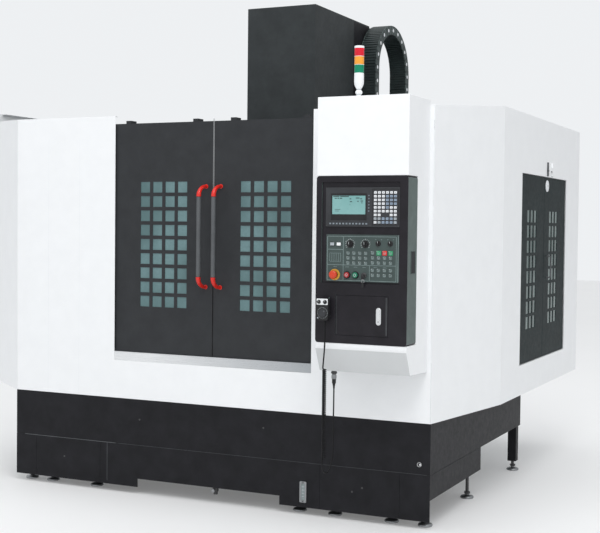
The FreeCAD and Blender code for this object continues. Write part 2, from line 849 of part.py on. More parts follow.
def build_door(label, side):
    """Sliding door folded from sheet, with a grid of square windows."""
    door = new_body(label)
    near = "door_gap / 2" if side == "right" else "-door_gap / 2 - door_width"
    far = "door_gap / 2 + door_width" if side == "right" else "-door_gap / 2"
    front = "sheet + door_back"
    pad(door, "XZ_Plane", front, "door_fold", rectangle(near, "door_bottom", far, "door_top"))
    inside = rectangle("%s + sheet" % near, "door_bottom + sheet", "%s - sheet" % far,
                       "door_top - sheet")
    cut(door, "XZ_Plane", "%s + sheet" % front, "door_fold", inside)
    rail_front = "sheet + door_back + door_fold + slide_gap"
    hook = [
        ("%s + sheet" % front, "door_top - 1"),
        ("%s + door_fold" % front, "door_top - 1"),
        ("%s + 6" % rail_front, "door_top"),
        ("%s + 6" % rail_front, "door_top - 30 + slide_gap"),
        ("%s + rail_depth - 6" % rail_front, "door_top - 30 + slide_gap"),
        ("%s + rail_depth - 6" % rail_front, "door_top + 17"),
        ("%s + sheet" % front, "door_top + 17"),
    ]
    for offset in ("hanger_inset", "door_width - hanger_inset"):
        start = "%s + %s - hanger_width / 2" % (near, offset)
        pad(door, "YZ_Plane", start, "hanger_width", hook)
    grid_left = "grid_centre" if side == "right" else "-grid_centre"
    grid_left += " - (cell_pitch_x * (cell_columns - 1) + cell) / 2"
    square = rectangle(grid_left, "grid_bottom", "%s + cell" % grid_left, "grid_bottom + cell")
    pocket = cut(door, "XZ_Plane", "%s - 1" % front, "sheet + 2", square)
    grid(door, pocket, "cell_pitch_x", "cell_columns", "cell_pitch_z", "cell_rows")
    pane = new_body(side + "_window")
    span_x = "(cell_pitch_x * (cell_columns - 1) + cell + 2 * grid_margin)"
    left = "%s - grid_margin" % grid_left
    low = "grid_bottom - grid_margin"
    high = "grid_bottom + cell_pitch_z * (cell_rows - 1) + cell + grid_margin"
    pad(pane, "XZ_Plane", "%s + sheet" % front, "pane",
        rectangle(left, low, "%s + %s" % (left, span_x), high))


def build_grip(side):
    """Grip of a sliding door: a straight bar between two curved end brackets."""
    sign = "" if side == "right" else "-"
    axis_x = "%sgrip_offset" % sign
    door_face = "sheet + door_back"
    bar = new_body(side + "_grip", axis_x, "%s - grip_stand" % door_face, "grip_bottom")
    discs(bar, "XY_Plane", ZERO, "grip_top - grip_bottom", "grip_radius", [(ZERO, ZERO)])
    brackets = new_body(side + "_brackets", axis_x, "%s - grip_stand" % door_face)
    half = "grip_radius + 1"
    for base, up in (("grip_top", 1), ("grip_bottom", -1)):
        sketch = sketch_on(brackets, "YZ_Plane", "-elbow_width / 2")
        elbow_section(sketch, base, up, half)
        raise_sketch(brackets, sketch, "elbow_width")


def elbow_section(sketch, base, up, half):
    """Side view of a bracket: a quarter bend from the bar to the door."""
    sign = "+" if up > 0 else "-"
    corners = [
        ("-(%s)" % half, base),
        ("-(%s)" % half, "%s %s (elbow - %s)" % (base, sign, half)),
        ("-(%s) + 0.3 * elbow" % half, "%s %s (elbow + 0.55 * (%s))" % (base, sign, half)),
        ("0.55 * elbow", "%s %s (elbow + %s)" % (base, sign, half)),
        ("grip_stand - 6", "%s %s (elbow + %s)" % (base, sign, half)),
        ("grip_stand - 6", "%s %s (elbow + %s + 9)" % (base, sign, half)),
        ("grip_stand", "%s %s (elbow + %s + 9)" % (base, sign, half)),
        ("grip_stand", "%s %s (elbow - %s)" % (base, sign, half)),
        ("0.9 * elbow", "%s %s (elbow - %s)" % (base, sign, half)),
        ("%s + 0.1 * elbow" % half, "%s %s (elbow - 1.6 * (%s))" % (base, sign, half)),
        (half, base),
    ]
    polygon(sketch, corners)


def build_side_leaf(label, pane_label, start, end, grid_start, pivot):
    """Service door on pivot pins at its outer edge, with windows, in its side opening."""
    face = "right_reach + right_wing_out - side_door_back"
    leaf = new_body(label)
    low = "side_door_bottom + side_leaf_gap"
    high = "side_door_top - side_leaf_gap"
    pad(leaf, "YZ_Plane", "%s - leaf_thick" % face, "leaf_thick", rectangle(start, low, end, high))
    inside = rectangle("%s + sheet" % start, "%s + sheet" % low, "%s - sheet" % end, "%s - sheet" % high)
    cut(leaf, "YZ_Plane", "%s - leaf_thick - 1" % face, "leaf_thick + 1 - sheet", inside)
    pin = regular("%s - leaf_thick / 2" % face, pivot, "pin_radius", 10)
    pad(leaf, "XY_Plane", "%s - sheet" % low, "2 * sheet", pin)
    pad(leaf, "XY_Plane", "%s - sheet" % high, "2 * sheet", pin)
    square = rectangle(grid_start, "side_grid_bottom", "%s + cell" % grid_start,
                       "side_grid_bottom + side_cell_height")
    pocket = cut(leaf, "YZ_Plane", "%s - sheet - 1" % face, "sheet + 2", square)
    grid(leaf, pocket, "cell_pitch_x", "side_cell_columns", "side_cell_pitch_z", "side_cell_rows")
    pane = new_body(pane_label)
    right = "%s + cell_pitch_x * (side_cell_columns - 1) + cell + grid_margin" % grid_start
    top = "side_grid_bottom + side_cell_pitch_z * (side_cell_rows - 1) + side_cell_height + grid_margin"
    pad(pane, "YZ_Plane", "%s - sheet - pane" % face, "pane",
        rectangle("%s - grid_margin" % grid_start, "side_grid_bottom - grid_margin", right, top))


PIVOT_FRONT = "side_door_front + side_leaf_gap + leaf_thick / 2"
PIVOT_REAR = "side_door_front + side_door_length - side_leaf_gap - leaf_thick / 2"


def build_side_doors():
    middle = "(side_door_front + side_door_length / 2)"
    build_side_leaf("side_leaf_front", "side_glass_front", "side_door_front + side_leaf_gap",
                    "%s - side_leaf_gap / 2" % middle, "side_grid_front", PIVOT_FRONT)
    build_side_leaf("side_leaf_rear", "side_glass_rear", "%s + side_leaf_gap / 2" % middle,
                    "side_door_front + side_door_length - side_leaf_gap", "side_grid_rear", PIVOT_REAR)
    face = "right_reach + right_wing_out - side_door_back"
    handle = new_body("side_handle")
    y = "%s + side_handle_from_split" % middle
    top = "(side_handle_bottom + side_handle_height)"
    section = [
        (face, "side_handle_bottom"),
        ("%s + side_handle_reach" % face, "side_handle_bottom"),
        ("%s + side_handle_reach" % face, top),
        (face, top),
        (face, "%s - 14" % top),
        ("%s + side_handle_reach - 10" % face, "%s - 14" % top),
        ("%s + side_handle_reach - 10" % face, "side_handle_bottom + 14"),
        (face, "side_handle_bottom + 14"),
    ]
    pad(handle, "XZ_Plane", "%s - 6" % y, "12", section)
    plate = rectangle("%s + 22" % middle, "side_door_top - 98", "%s + 50" % middle,
                      "side_door_top - 13")
    pad(handle, "YZ_Plane", face, "7", plate)


# ---------------------------------------------------------------- ways and axes

def truck_pair(centre, rail_top, base, low):
    """Outline of one guide truck straddling a way, up to the casting that it carries."""
    left = "%s - truck_width / 2" % centre
    right = "%s + truck_width / 2" % centre
    inner_left = "%s - way_width / 2 - way_clearance" % centre
    inner_right = "%s + way_width / 2 + way_clearance" % centre
    return [
        (left, low),
        (inner_left, low),
        (inner_left, "%s + way_clearance" % rail_top),
        (inner_right, "%s + way_clearance" % rail_top),
        (inner_right, low),
        (right, low),
        (right, base),
        (left, base),
    ]


def build_saddle():
    """Cross slide: a plate on four trucks, with the ways and screw of the table on top."""
    saddle = new_body("saddle")
    rear = "table_centre_y - saddle_length_y / 2"
    plan = rectangle("-saddle_half_x", rear, "saddle_half_x", "%s + saddle_length_y" % rear)
    pad(saddle, "XY_Plane", "saddle_bottom", "saddle_top - saddle_bottom", plan)
    for start in (rear, "table_centre_y + saddle_length_y / 2 - truck_length"):
        trucks = [truck_pair(x, "bed_top + way_height", "saddle_bottom", "bed_top + 4")
                  for x in ("-y_way_offset", "y_way_offset")]
        pad(saddle, "XZ_Plane", start, "truck_length", *trucks)
    ways = [rectangle("table_centre_y + %sx_way_offset - way_width / 2" % sign, "saddle_top",
                      "table_centre_y + %sx_way_offset + way_width / 2" % sign,
                      "saddle_top + way_height") for sign in ("", "-")]
    pad(saddle, "YZ_Plane", "-saddle_half_x + 5", "2 * saddle_half_x - 10", *ways)
    discs(saddle, "YZ_Plane", "-saddle_half_x + 60", "2 * saddle_half_x - 120", "screw_radius",
          [("table_centre_y", "saddle_top + 32")])
    bearings = rectangle("table_centre_y - 50", "saddle_top", "table_centre_y + 50", "saddle_top + 66")
    for start in ("-saddle_half_x + 10", "saddle_half_x - 60"):
        pad(saddle, "YZ_Plane", start, "50", bearings)


def build_table():
    """Work table with T-slots, on four trucks."""
    table = new_body("table")
    front = "table_centre_y - table_width_y / 2"
    section = rectangle(front, "table_bottom", "%s + table_width_y" % front, "table_top")
    pad(table, "YZ_Plane", "-table_half_x", "2 * table_half_x", section)
    first = "table_centre_y - slot_pitch * (slot_count - 1) / 2"
    foot = "table_top - slot_neck - slot_foot"
    neck = "table_top - slot_neck"
    slot = [
        ("%s - slot_width / 2" % first, "table_top + 1"),
        ("%s - slot_width / 2" % first, neck),
        ("%s - slot_wide / 2" % first, neck),
        ("%s - slot_wide / 2" % first, foot),
        ("%s + slot_wide / 2" % first, foot),
        ("%s + slot_wide / 2" % first, neck),
        ("%s + slot_width / 2" % first, neck),
        ("%s + slot_width / 2" % first, "table_top + 1"),
    ]
    pocket = cut(table, "YZ_Plane", "-table_half_x - 1", "2 * table_half_x + 2", slot)
    grid(table, pocket, "slot_pitch", "slot_count")
    for start in ("-truck_spread - truck_length / 2", "truck_spread - truck_length / 2"):
        trucks = [truck_pair("table_centre_y + %sx_way_offset" % sign, "saddle_top + way_height",
                             "table_bottom", "saddle_top + 4") for sign in ("", "-")]
        pad(table, "YZ_Plane", start, "truck_length", *trucks)


def build_head():
    """Cast head with its spindle cartridge, the motor on top and four trucks on the column's ways."""
    head = new_body("head")
    section = [
        ("head_front", "head_bottom + 60"),
        ("head_front + 60", "head_bottom"),
        ("table_centre_y + 220", "head_bottom"),
        ("table_centre_y + 340", "head_bottom + 60"),
        ("head_rear", "head_bottom + 60"),
        ("head_rear", "head_top"),
        ("head_front + 40", "head_top"),
        ("head_front", "head_top - 60"),
    ]
    pad(head, "YZ_Plane", "-cover_half + sheet + head_fit", "2 * (cover_half - sheet - head_fit)", section)
    discs(head, "XY_Plane", "nose_bottom + 14", "head_bottom - nose_bottom", "nose_radius",
          [(ZERO, "table_centre_y")])
    bores(head, "XY_Plane", "nose_bottom + 10", "spindle_length + 4", "spindle_radius + spindle_fit",
          [(ZERO, "table_centre_y")])
    pad(head, "XY_Plane", "head_top", "motor_height", regular(ZERO, "table_centre_y", "motor_radius", 16))
    for low in ("head_bottom + 70", "head_top - truck_length"):
        trucks = [truck_at_column(sign + "z_way_offset") for sign in ("", "-")]
        pad(head, "XY_Plane", low, "truck_length", *trucks)


def truck_at_column(centre):
    """Plan of one guide truck between the head and a way on the column."""
    left = "%s - 48" % centre
    right = "%s + 48" % centre
    inner_left = "%s - way_width / 2 - way_clearance" % centre
    inner_right = "%s + way_width / 2 + way_clearance" % centre
    front_of_way = "column_front - way_height - way_clearance"
    return [
        (left, "head_rear"),
        (right, "head_rear"),
        (right, "column_front - 4"),
        (inner_right, "column_front - 4"),
        (inner_right, front_of_way),
        (inner_left, front_of_way),
        (inner_left, "column_front - 4"),
        (left, "column_front - 4"),
    ]


def build_head_cover():
    """Tall sheet cover over the head and its motor, with the arm and tray that lead the cable chain."""
    cover = new_body("head_cover")
    rear = "cover_front + cover_depth"
    pad(cover, "XY_Plane", "cover_bottom", "cover_top - cover_bottom",
        rectangle("-cover_half", "cover_front", "cover_half", rear))
    cut(cover, "XY_Plane", "cover_bottom - 1", "cover_top - cover_bottom + 1 - sheet",
        rectangle("-cover_half + sheet", "cover_front + sheet", "cover_half - sheet",
                  "%s - sheet" % rear))
    cut(cover, "XZ_Plane", "%s - sheet - 1" % rear, "sheet + 2",
        rectangle("-cover_half + sheet", "cover_bottom - 1", "cover_half - sheet", "head_top + 20"))
    pad(cover, "XY_Plane", "cover_top - 4 * sheet", "4 * sheet",
        rectangle("cover_half - 200", rear, "cover_half", "%s + cover_arm" % rear))
    near = "chain_axis_y - chain_radius - chain_thick / 2 - tray_gap"
    far = "chain_axis_y - chain_radius + chain_thick / 2 + tray_gap"
    tray = [
        ("cover_half - tray_wall", rear),
        ("cover_half", rear),
        ("cover_half", "%s - tray_wall" % near),
        ("chain_left + chain_width + 4", "%s - tray_wall" % near),
        ("chain_left + chain_width + 4", near),
        ("cover_half", near),
        ("cover_half", far),
        ("chain_left + chain_width + 4", far),
        ("chain_left + chain_width + 4", "%s + tray_wall" % far),
        ("cover_half - tray_wall", "%s + tray_wall" % far),
    ]
    tray_bottom = "chain_axis_z - chain_leg_links * chain_pitch - 20"
    pad(cover, "XY_Plane", tray_bottom, "tray_height", tray)


def build_spindle():
    """Spindle with its nose ring, two drive keys and tapered mouth."""
    spindle = new_body("spindle", ZERO, "table_centre_y", "nose_bottom")
    section = [
        ("taper_mouth", ZERO),
        ("spindle_radius", ZERO),
        ("spindle_radius", "spindle_length"),
        ("8", "spindle_length"),
        ("8", "taper_depth"),
        ("taper_mouth", "taper_depth"),
    ]
    turn(spindle, section)
    keys = [rectangle("%s30 - 5" % sign, "-8", "%s30 + 5" % sign, "8") for sign in ("", "-")]
    pad(spindle, "XY_Plane", "-5", "5", *keys)


def build_chain():
    """Cable chain bent over its arch: side plates with cross bars, link by link."""
    chain = doc.addObject("Part::Feature", "cable_chain")
    chain.Label = "cable_chain"
    chain.Shape = Part.makeCompound([chain_link(i) for i in range(len(chain_path()))])
    place(chain)
    parts.append(chain)


def chain_path():
    """Middle point and lean of each link, up the near leg, over the arch and down the far leg."""
    pitch = size("chain_pitch")
    radius = size("chain_radius")
    axis_y = size("chain_axis_y")
    axis_z = size("chain_axis_z")
    legs = int(size("chain_leg_links"))
    arch = max(1, round(math.pi * radius / pitch))
    stations = []
    for i in range(legs):
        stations.append((axis_y - radius, axis_z - (legs - i - 0.5) * pitch, 0.0))
    for i in range(arch):
        angle = math.pi * (i + 0.5) / arch
        stations.append((axis_y - radius * math.cos(angle), axis_z + radius * math.sin(angle), angle))
    for i in range(legs):
        stations.append((axis_y + radius, axis_z - (i + 0.5) * pitch, math.pi))
    return stations


def chain_link(index):
    """One link: two side plates with tapered ends and two cross bars, every second one set inward."""
    y, z, lean = chain_path()[index]
    width = size("chain_width")
    wall = size("chain_wall")
    half = size("chain_thick") / 2
    reach = size("chain_pitch") / 2
    inset = 0 if index % 2 == 0 else wall + 0.5
    tip = reach + half * 0.42
    shoulder = reach - half * 0.18
    outline = [(half, -shoulder), (half, shoulder), (half * 0.38, tip), (-half * 0.38, tip),
               (-half, shoulder), (-half, -shoulder), (-half * 0.38, -tip), (half * 0.38, -tip)]
    corners = [Vector(0, across, along) for across, along in outline]
    plate = Part.Face(Part.makePolygon(corners + corners[:1])).extrude(Vector(wall, 0, 0))
    left = plate.copy()
    left.translate(Vector(size("chain_left") + inset, 0, 0))
    right = plate.copy()
    right.translate(Vector(size("chain_left") + width - wall - inset, 0, 0))
    bar_depth = 7
    bars = [Part.makeBox(width - 2 * inset - 2, bar_depth, reach,
                         Vector(size("chain_left") + inset + 1, low, -reach / 2))
            for low in (-half, half - bar_depth)]
    link = left.multiFuse([right] + bars).removeSplitter()
    link.rotate(Vector(0, 0, 0), Vector(1, 0, 0), -math.degrees(lean))
    link.translate(Vector(0, y, z))
    return link


def build_magazine():
    """Umbrella tool magazine: fixed beam, sliding arm and carousel with its tool fingers."""
    beam = new_body("magazine_beam")
    beam_rear = "beam_front + beam_depth"
    plan = [
        ("-beam_end", "beam_front"),
        ("-beam_side", "beam_front"),
        ("-beam_side", "column_front + 5"),
        ("-column_half", "column_front + 5"),
        ("-column_half", "column_front + 250"),
        ("-beam_side - beam_depth", "column_front + 250"),
        ("-beam_side - beam_depth", beam_rear),
        ("-beam_end", beam_rear),
    ]
    pad(beam, "XY_Plane", "beam_bottom", "beam_height", plan)
    slide = new_body("carousel_slide")
    arm_low = "carousel_bottom + carousel_thick + 12"
    beam_top = "beam_bottom + beam_height"
    arm = [
        ("table_centre_y - 60", arm_low),
        ("beam_front - slide_gap", arm_low),
        ("beam_front - slide_gap", "%s + slide_gap" % beam_top),
        (beam_rear, "%s + slide_gap" % beam_top),
        (beam_rear, "%s + 18" % beam_top),
        ("beam_front - 20", "%s + 18" % beam_top),
        ("beam_front - 40", "%s + 60" % arm_low),
        ("table_centre_y - 60", "%s + 40" % arm_low),
    ]
    pad(slide, "YZ_Plane", "-carousel_x - 60", "120", arm)
    bores(slide, "XY_Plane", "carousel_bottom", "carousel_thick + 60", "hub_radius + spindle_fit",
          [("-carousel_x", "table_centre_y")])
    carousel = new_body("tool_carousel", "-carousel_x", "table_centre_y", "carousel_bottom")
    pad(carousel, "XY_Plane", ZERO, "carousel_thick", regular(ZERO, ZERO, "carousel_radius - 70", 24))
    pad(carousel, "XY_Plane", "carousel_thick", "26", regular(ZERO, ZERO, "hub_radius", 16))
    finger = [
        ("carousel_radius - 80", "-26"),
        ("carousel_radius", "-18"),
        ("carousel_radius", "18"),
        ("carousel_radius - 80", "26"),
    ]
    first = pad(carousel, "XY_Plane", "4", "14", finger)
    ring(carousel, first, "pocket_count")


# ---------------------------------------------------------------- control pod

def build_pod():
    """White pod: head block, backbone behind the control panel and a tray with a sloping underside."""
    pod = new_body("pod_body")
    section = [
        ("-seam", "pod_top"),
        ("-pod_out", "pod_top"),
        ("-pod_out", "housing_top + seam"),
        ("-pod_out + housing_depth + seam", "housing_top + seam"),
        ("-pod_out + housing_depth + seam", "housing_bottom - seam"),
        ("-pod_out", "housing_bottom - seam"),
        ("-pod_out", "tray_lip"),
        ("-pod_out + tray_taper", "tray_bottom"),
        ("-seam", "pod_bottom"),
    ]
    pad(pod, "YZ_Plane", "pod_left", "pod_width", section)


def pod_face(reach=ZERO):
    """Y coordinate that many millimetres in front of the control panel's face."""
    return "-pod_out - %s" % reach


def build_housing():
    """Black control housing with rounded corners, a recess for the controls and one for the flap."""
    housing = new_body("panel_housing")
    block = rectangle("pod_left", "housing_bottom", "pod_left + pod_width", "housing_top")
    base = pad(housing, "XZ_Plane", "-pod_out - 2", "housing_depth + 2 + seam / 2", block)
    doc.recompute()
    corners = []
    for i, edge in enumerate(base.Shape.Edges, start=1):
        box = edge.BoundBox
        if box.YLength > 1 and box.XLength < 1 and box.ZLength < 1:
            corners.append("Edge%d" % i)
    fillet = housing.newObject("PartDesign::Fillet", "housing_corners")
    fillet.Base = (base, corners)
    fillet.setExpression("Radius", bound("housing_round"))
    housing.Tip = fillet
    recess = rectangle("pod_left + bezel_margin", "bezel_bottom",
                       "pod_left + pod_width - bezel_right", "housing_top - bezel_margin")
    cut(housing, "XZ_Plane", "-pod_out - 3", "bezel_depth + 1", recess)
    wells = [regular(x, "button_row", "stem_pin + button_seat", 6)
             for x in ("stop_x", "red_button_x", "green_button_x")]
    cut(housing, "XZ_Plane", "-pod_out - 3 + bezel_depth", "stop_travel + 2", *wells)
    flap_hole = rectangle("flap_left - flap_gap", "flap_bottom - flap_gap",
                          "flap_left + flap_width + flap_gap", "flap_bottom + flap_height + flap_gap")
    cut(housing, "XZ_Plane", "-pod_out - 3", "90", flap_hole)
    slot = rectangle("-pod_out + 44", "1343", "-pod_out + 109", "1450")
    cut(housing, "YZ_Plane", "pod_left + pod_width - 6", "7", slot)
    flap_pins = [("flap_left + flap_pin", pod_face("2") + " + flap_pin")]
    for low in ("flap_bottom - flap_gap - 5", "flap_bottom + flap_height + flap_gap - 1"):
        bores(housing, "XY_Plane", low, "6", "flap_pin_radius + pivot_gap", flap_pins)
    rest = rectangle("handset_left + 10", "handset_bottom + handset_height - 40",
                     "handset_left + handset_width - 10", "handset_bottom + handset_height + 6")
    pad(housing, "XZ_Plane", "-pod_out - handset_reach + handset_thick + slide_gap",
        "handset_reach - handset_thick - slide_gap - 1", rest)


def build_screen_unit():
    """Screen bezel with soft keys and the block of data keys beside it."""
    unit = new_body("screen_unit")
    floor = "-pod_out - 2 + bezel_depth"
    plate = rectangle("screen_unit_left", "screen_unit_bottom", "screen_unit_left + screen_unit_width",
                      "screen_unit_bottom + screen_unit_height")
    pad(unit, "XZ_Plane", "%s - 6" % floor, "6", plate)
    window = rectangle("screen_left", "screen_bottom", "screen_left + screen_width",
                       "screen_bottom + screen_height")
    cut(unit, "XZ_Plane", "%s - 7" % floor, "4", window)
    key = rectangle("key_left", "key_bottom", "key_left + key_size", "key_bottom + key_size - 3")
    keys = pad(unit, "XZ_Plane", "%s - 6 - key_height" % floor, "key_height", key)
    grid(unit, keys, "key_pitch_x", "6", "key_pitch_z", "9")
    soft = rectangle("screen_left - 13", "screen_unit_bottom + 10", "screen_left - 1",
                     "screen_unit_bottom + 19")
    softs = pad(unit, "XZ_Plane", "%s - 6 - key_height" % floor, "key_height", soft)
    grid(unit, softs, "21.5", "10")
    screen = new_body("screen")
    pad(screen, "XZ_Plane", "%s - 5" % floor, "2",
        rectangle("screen_left + 0.5", "screen_bottom + 0.5", "screen_left + screen_width - 0.5",
                  "screen_bottom + screen_height - 0.5"))


def build_plate():
    """Operation plate with its small keys, two selectors and the key switch."""
    plate = new_body("operation_plate")
    floor = "-pod_out - 2 + bezel_depth"
    face = "%s - plate_thick" % floor
    outline = rectangle("plate_left", "plate_bottom", "plate_left + plate_width",
                        "plate_bottom + plate_height")
    pad(plate, "XZ_Plane", face, "plate_thick", outline)
    keys = [
        ("953", "1382", "4", "3"),
        ("1086", "1385", "4", "3"),
        ("1086", "1323", "4", "2"),
    ]
    for x, z, columns, rows in keys:
        key = rectangle(x, z, "%s + small_key" % x, "%s + small_key" % z)
        first = pad(plate, "XZ_Plane", "%s - key_height" % face, "key_height", key)
        grid(plate, first, "small_key_pitch + 2", columns, "key_row_pitch", rows)
    selectors = [("selector_x", "knob_row + 4"), ("selector_x + selector_pitch", "knob_row + 4"),
                 ("key_switch_x", "button_row")]
    pad(plate, "XZ_Plane", "%s - 5" % face, "5", *[regular(x, z, "10", 12) for x, z in selectors])
    for x, z in selectors:
        bar = rectangle("%s - 2.5" % x, "%s - 9" % z, "%s + 2.5" % x, "%s + 9" % z)
        pad(plate, "XZ_Plane", "%s - 12" % face, "7", bar)
    lamps = [rectangle("%s - 11" % x, "knob_row - 9", "%s + 11" % x, "knob_row + 7") for x in ("874", "909")]
    pad(plate, "XZ_Plane", "%s - 4" % face, "4", *lamps)
    knob_holes = [("feed_knob_x", "knob_row"), ("spindle_knob_x", "knob_row")]
    bores(plate, "XZ_Plane", "%s - 1" % face, "plate_thick + 2", "stem_pin + button_seat", knob_holes)
    holes = [regular(x, "button_row", "stem_pin + button_seat", 6)
             for x in ("stop_x", "red_button_x", "green_button_x")]
    cut(plate, "XZ_Plane", "%s - 1" % face, "plate_thick + 2", *holes)


def panel_control(label, x, z):
    """Body whose own Z axis points from the operation plate to the operator."""
    return new_body(label, x, "-pod_out - 2 + bezel_depth - plate_thick", z, TO_FRONT)


def stand_on_stem(label, x, z, outline, low, high):
    """A control on a six-sided stem in its hole of the operation plate."""
    control = panel_control(label, x, z)
    stem = "plate_thick - 0.3"
    pad(control, "XY_Plane", "-(%s)" % stem, "%s + %s + 1" % (stem, low),
        regular(ZERO, ZERO, "stem_pin", 6))
    pad(control, "XY_Plane", low, "%s - %s" % (high, low), outline)
    return control


def build_controls():
    stop = stand_on_stem("estop_button", "stop_x", "button_row",
                         regular(ZERO, ZERO, "stop_radius - 6", 12), "stop_travel + 1",
                         "stop_reach - 14")
    pad(stop, "XY_Plane", "stop_reach - 16", "16", regular(ZERO, ZERO, "stop_radius", 24))
    for label, x in (("red_button", "red_button_x"), ("green_button", "green_button_x")):
        stand_on_stem(label, x, "button_row", regular(ZERO, ZERO, "button_radius", 20),
                      "button_travel + 1", "button_reach")
    for label, x in (("feed_knob", "feed_knob_x"), ("spindle_knob", "spindle_knob_x")):
        knob = stand_on_stem(label, x, "knob_row", regular(ZERO, ZERO, "knob_radius", 16),
                             "button_seat", "knob_reach - 12")
        wing = [
            ("-4", "-knob_radius + 2"),
            ("4", "-knob_radius + 2"),
            ("4", "knob_radius - 5"),
            (ZERO, "knob_radius - 2"),
            ("-4", "knob_radius - 5"),
        ]
        pad(knob, "XY_Plane", "knob_reach - 13", "13", wing)


def build_flap():
    """Flap below the controls, hung on two pins at its left edge, with its turn latch."""
    flap = new_body("flap")
    outline = rectangle("flap_left", "flap_bottom", "flap_left + flap_width",
                        "flap_bottom + flap_height")
    pad(flap, "XZ_Plane", "-pod_out - 2", "flap_thick", outline)
    inside = rectangle("flap_left + 4", "flap_bottom + 4", "flap_left + flap_width - 4",
                       "flap_bottom + flap_height - 4")
    cut(flap, "XZ_Plane", "-pod_out + 2", "flap_thick", inside)
    pin = regular("flap_left + flap_pin", pod_face("2") + " + flap_pin", "flap_pin_radius", 8)
    for low in ("flap_bottom - flap_gap - 4", "flap_bottom + flap_height"):
        pad(flap, "XY_Plane", low, "flap_gap + 4", pin)
    centre = "flap_left + flap_width - latch_from_right - latch_width / 2"
    seat_z = "latch_bottom + latch_height / 2"
    bores(flap, "XZ_Plane", "-pod_out - 3", "flap_thick", "5.3", [(centre, seat_z)])
    latch = new_body("flap_latch", centre, "-pod_out - 2", seat_z, TO_FRONT)
    plate = [
        ("-latch_width / 2 + 6", "-latch_height / 2"),
        ("latch_width / 2 - 6", "-latch_height / 2"),
        ("latch_width / 2", "-latch_height / 2 + 8"),
        ("latch_width / 2", "latch_height / 2 - 8"),
        ("latch_width / 2 - 6", "latch_height / 2"),
        ("-latch_width / 2 + 6", "latch_height / 2"),
        ("-latch_width / 2", "latch_height / 2 - 8"),
        ("-latch_width / 2", "-latch_height / 2 + 8"),
    ]
    pad(latch, "XY_Plane", "0.3", "latch_thick - 0.3", plate)
    pad(latch, "XY_Plane", "-6", "6.3", regular(ZERO, ZERO, "5", 8))


def build_handset():
    """Hand pulse unit on its rest: body with two selector knobs, strain relief and the hand wheel."""
    handset = new_body("handset")
    front = "-pod_out - handset_reach"
    right = "handset_left + handset_width"
    top = "handset_bottom + handset_height"
    face = [
        ("handset_left + 10", "handset_bottom"),
        ("%s - 10" % right, "handset_bottom"),
        (right, "handset_bottom + 14"),
        (right, top),
        ("handset_left", top),
        ("handset_left", "handset_bottom + 14"),
    ]
    pad(handset, "XZ_Plane", "%s + dial_reach" % front, "handset_thick - dial_reach", face)
    middle = "handset_left + handset_width / 2"
    knobs = [("%s - 17" % middle, "%s - 18" % top), ("%s + 17" % middle, "%s - 18" % top)]
    pad(handset, "XZ_Plane", "%s + 1" % front, "dial_reach - 1", *[regular(x, z, "8", 10) for x, z in knobs])
    gland_y = "%s + dial_reach + (handset_thick - dial_reach) / 2" % front
    gland_x = "handset_left + gland_across"
    pad(handset, "XY_Plane", "handset_bottom - 26", "26", regular(gland_x, gland_y, "cord_radius + 4", 10))
    dial_x = "%s + 3" % middle
    bores(handset, "XZ_Plane", "%s + dial_reach" % front, "8", "stem_pin + button_seat",
          [(dial_x, "handset_bottom + 38")])
    dial = new_body("handset_dial", dial_x, "%s + dial_reach" % front, "handset_bottom + 38", TO_FRONT)
    pad(dial, "XY_Plane", "-7", "8", regular(ZERO, ZERO, "stem_pin", 6))
    pad(dial, "XY_Plane", "button_seat", "6 - button_seat", regular(ZERO, ZERO, "dial_radius", 24))
    crank = rectangle("dial_radius - 14", "-4", "dial_radius - 6", "4")
    pad(dial, "XY_Plane", "5", "dial_reach - 5", crank)


def tube_along(points, radius, trim):
    """Six-sided tube along straight runs joined by tangent arcs, each as large as its runs allow."""
    corners = [Vector(*p) for p in points]
    edges = []
    start = corners[0]
    radii = []
    for i in range(1, len(corners) - 1):
        into = corners[i] - corners[i - 1]
        out = corners[i + 1] - corners[i]
        angle = into.getAngle(out)
        shorter = min(into.Length, out.Length)
        bend = trim * shorter / math.tan(angle / 2)
        radii.append(bend)
        reach = trim * shorter
        first = corners[i] - into * (reach / into.Length)
        last = corners[i] + out * (reach / out.Length)
        inward = (out * (1 / out.Length) - into * (1 / into.Length))
        inward.normalize()
        middle = corners[i] + inward * (bend / math.cos(angle / 2) - bend)
        edges.append(Part.LineSegment(start, first).toShape())
        edges.append(Part.Arc(first, middle, last).toShape())
        start = last
    edges.append(Part.LineSegment(start, corners[-1]).toShape())
    path = Part.Wire(edges)
    along = corners[1] - corners[0]
    side = along.cross(Vector(0, 1, 0)).normalize()
    ahead = along.cross(side).normalize()
    rim = [corners[0] + side * (radius * math.cos(a)) + ahead * (radius * math.sin(a))
           for a in [math.pi / 3 * k for k in range(7)]]
    tube = path.makePipeShell([Part.makePolygon(rim)], True, False)
    share = tube.Volume / (1.5 * math.sqrt(3) * radius ** 2 * path.Length)
    print("tube: length %.1f, volume share %.4f, radii %s"
          % (path.Length, share, ", ".join("%.0f" % r for r in radii)))
    return tube


def cord_x():
    return size("handset_left") + size("gland_across")


def cord_y():
    return -size("pod_out") - size("handset_reach") + (size("dial_reach") + size("handset_thick")) / 2


CURL_TOP = 868
CURL_BOTTOM = 380
CONNECTOR_Y = -232


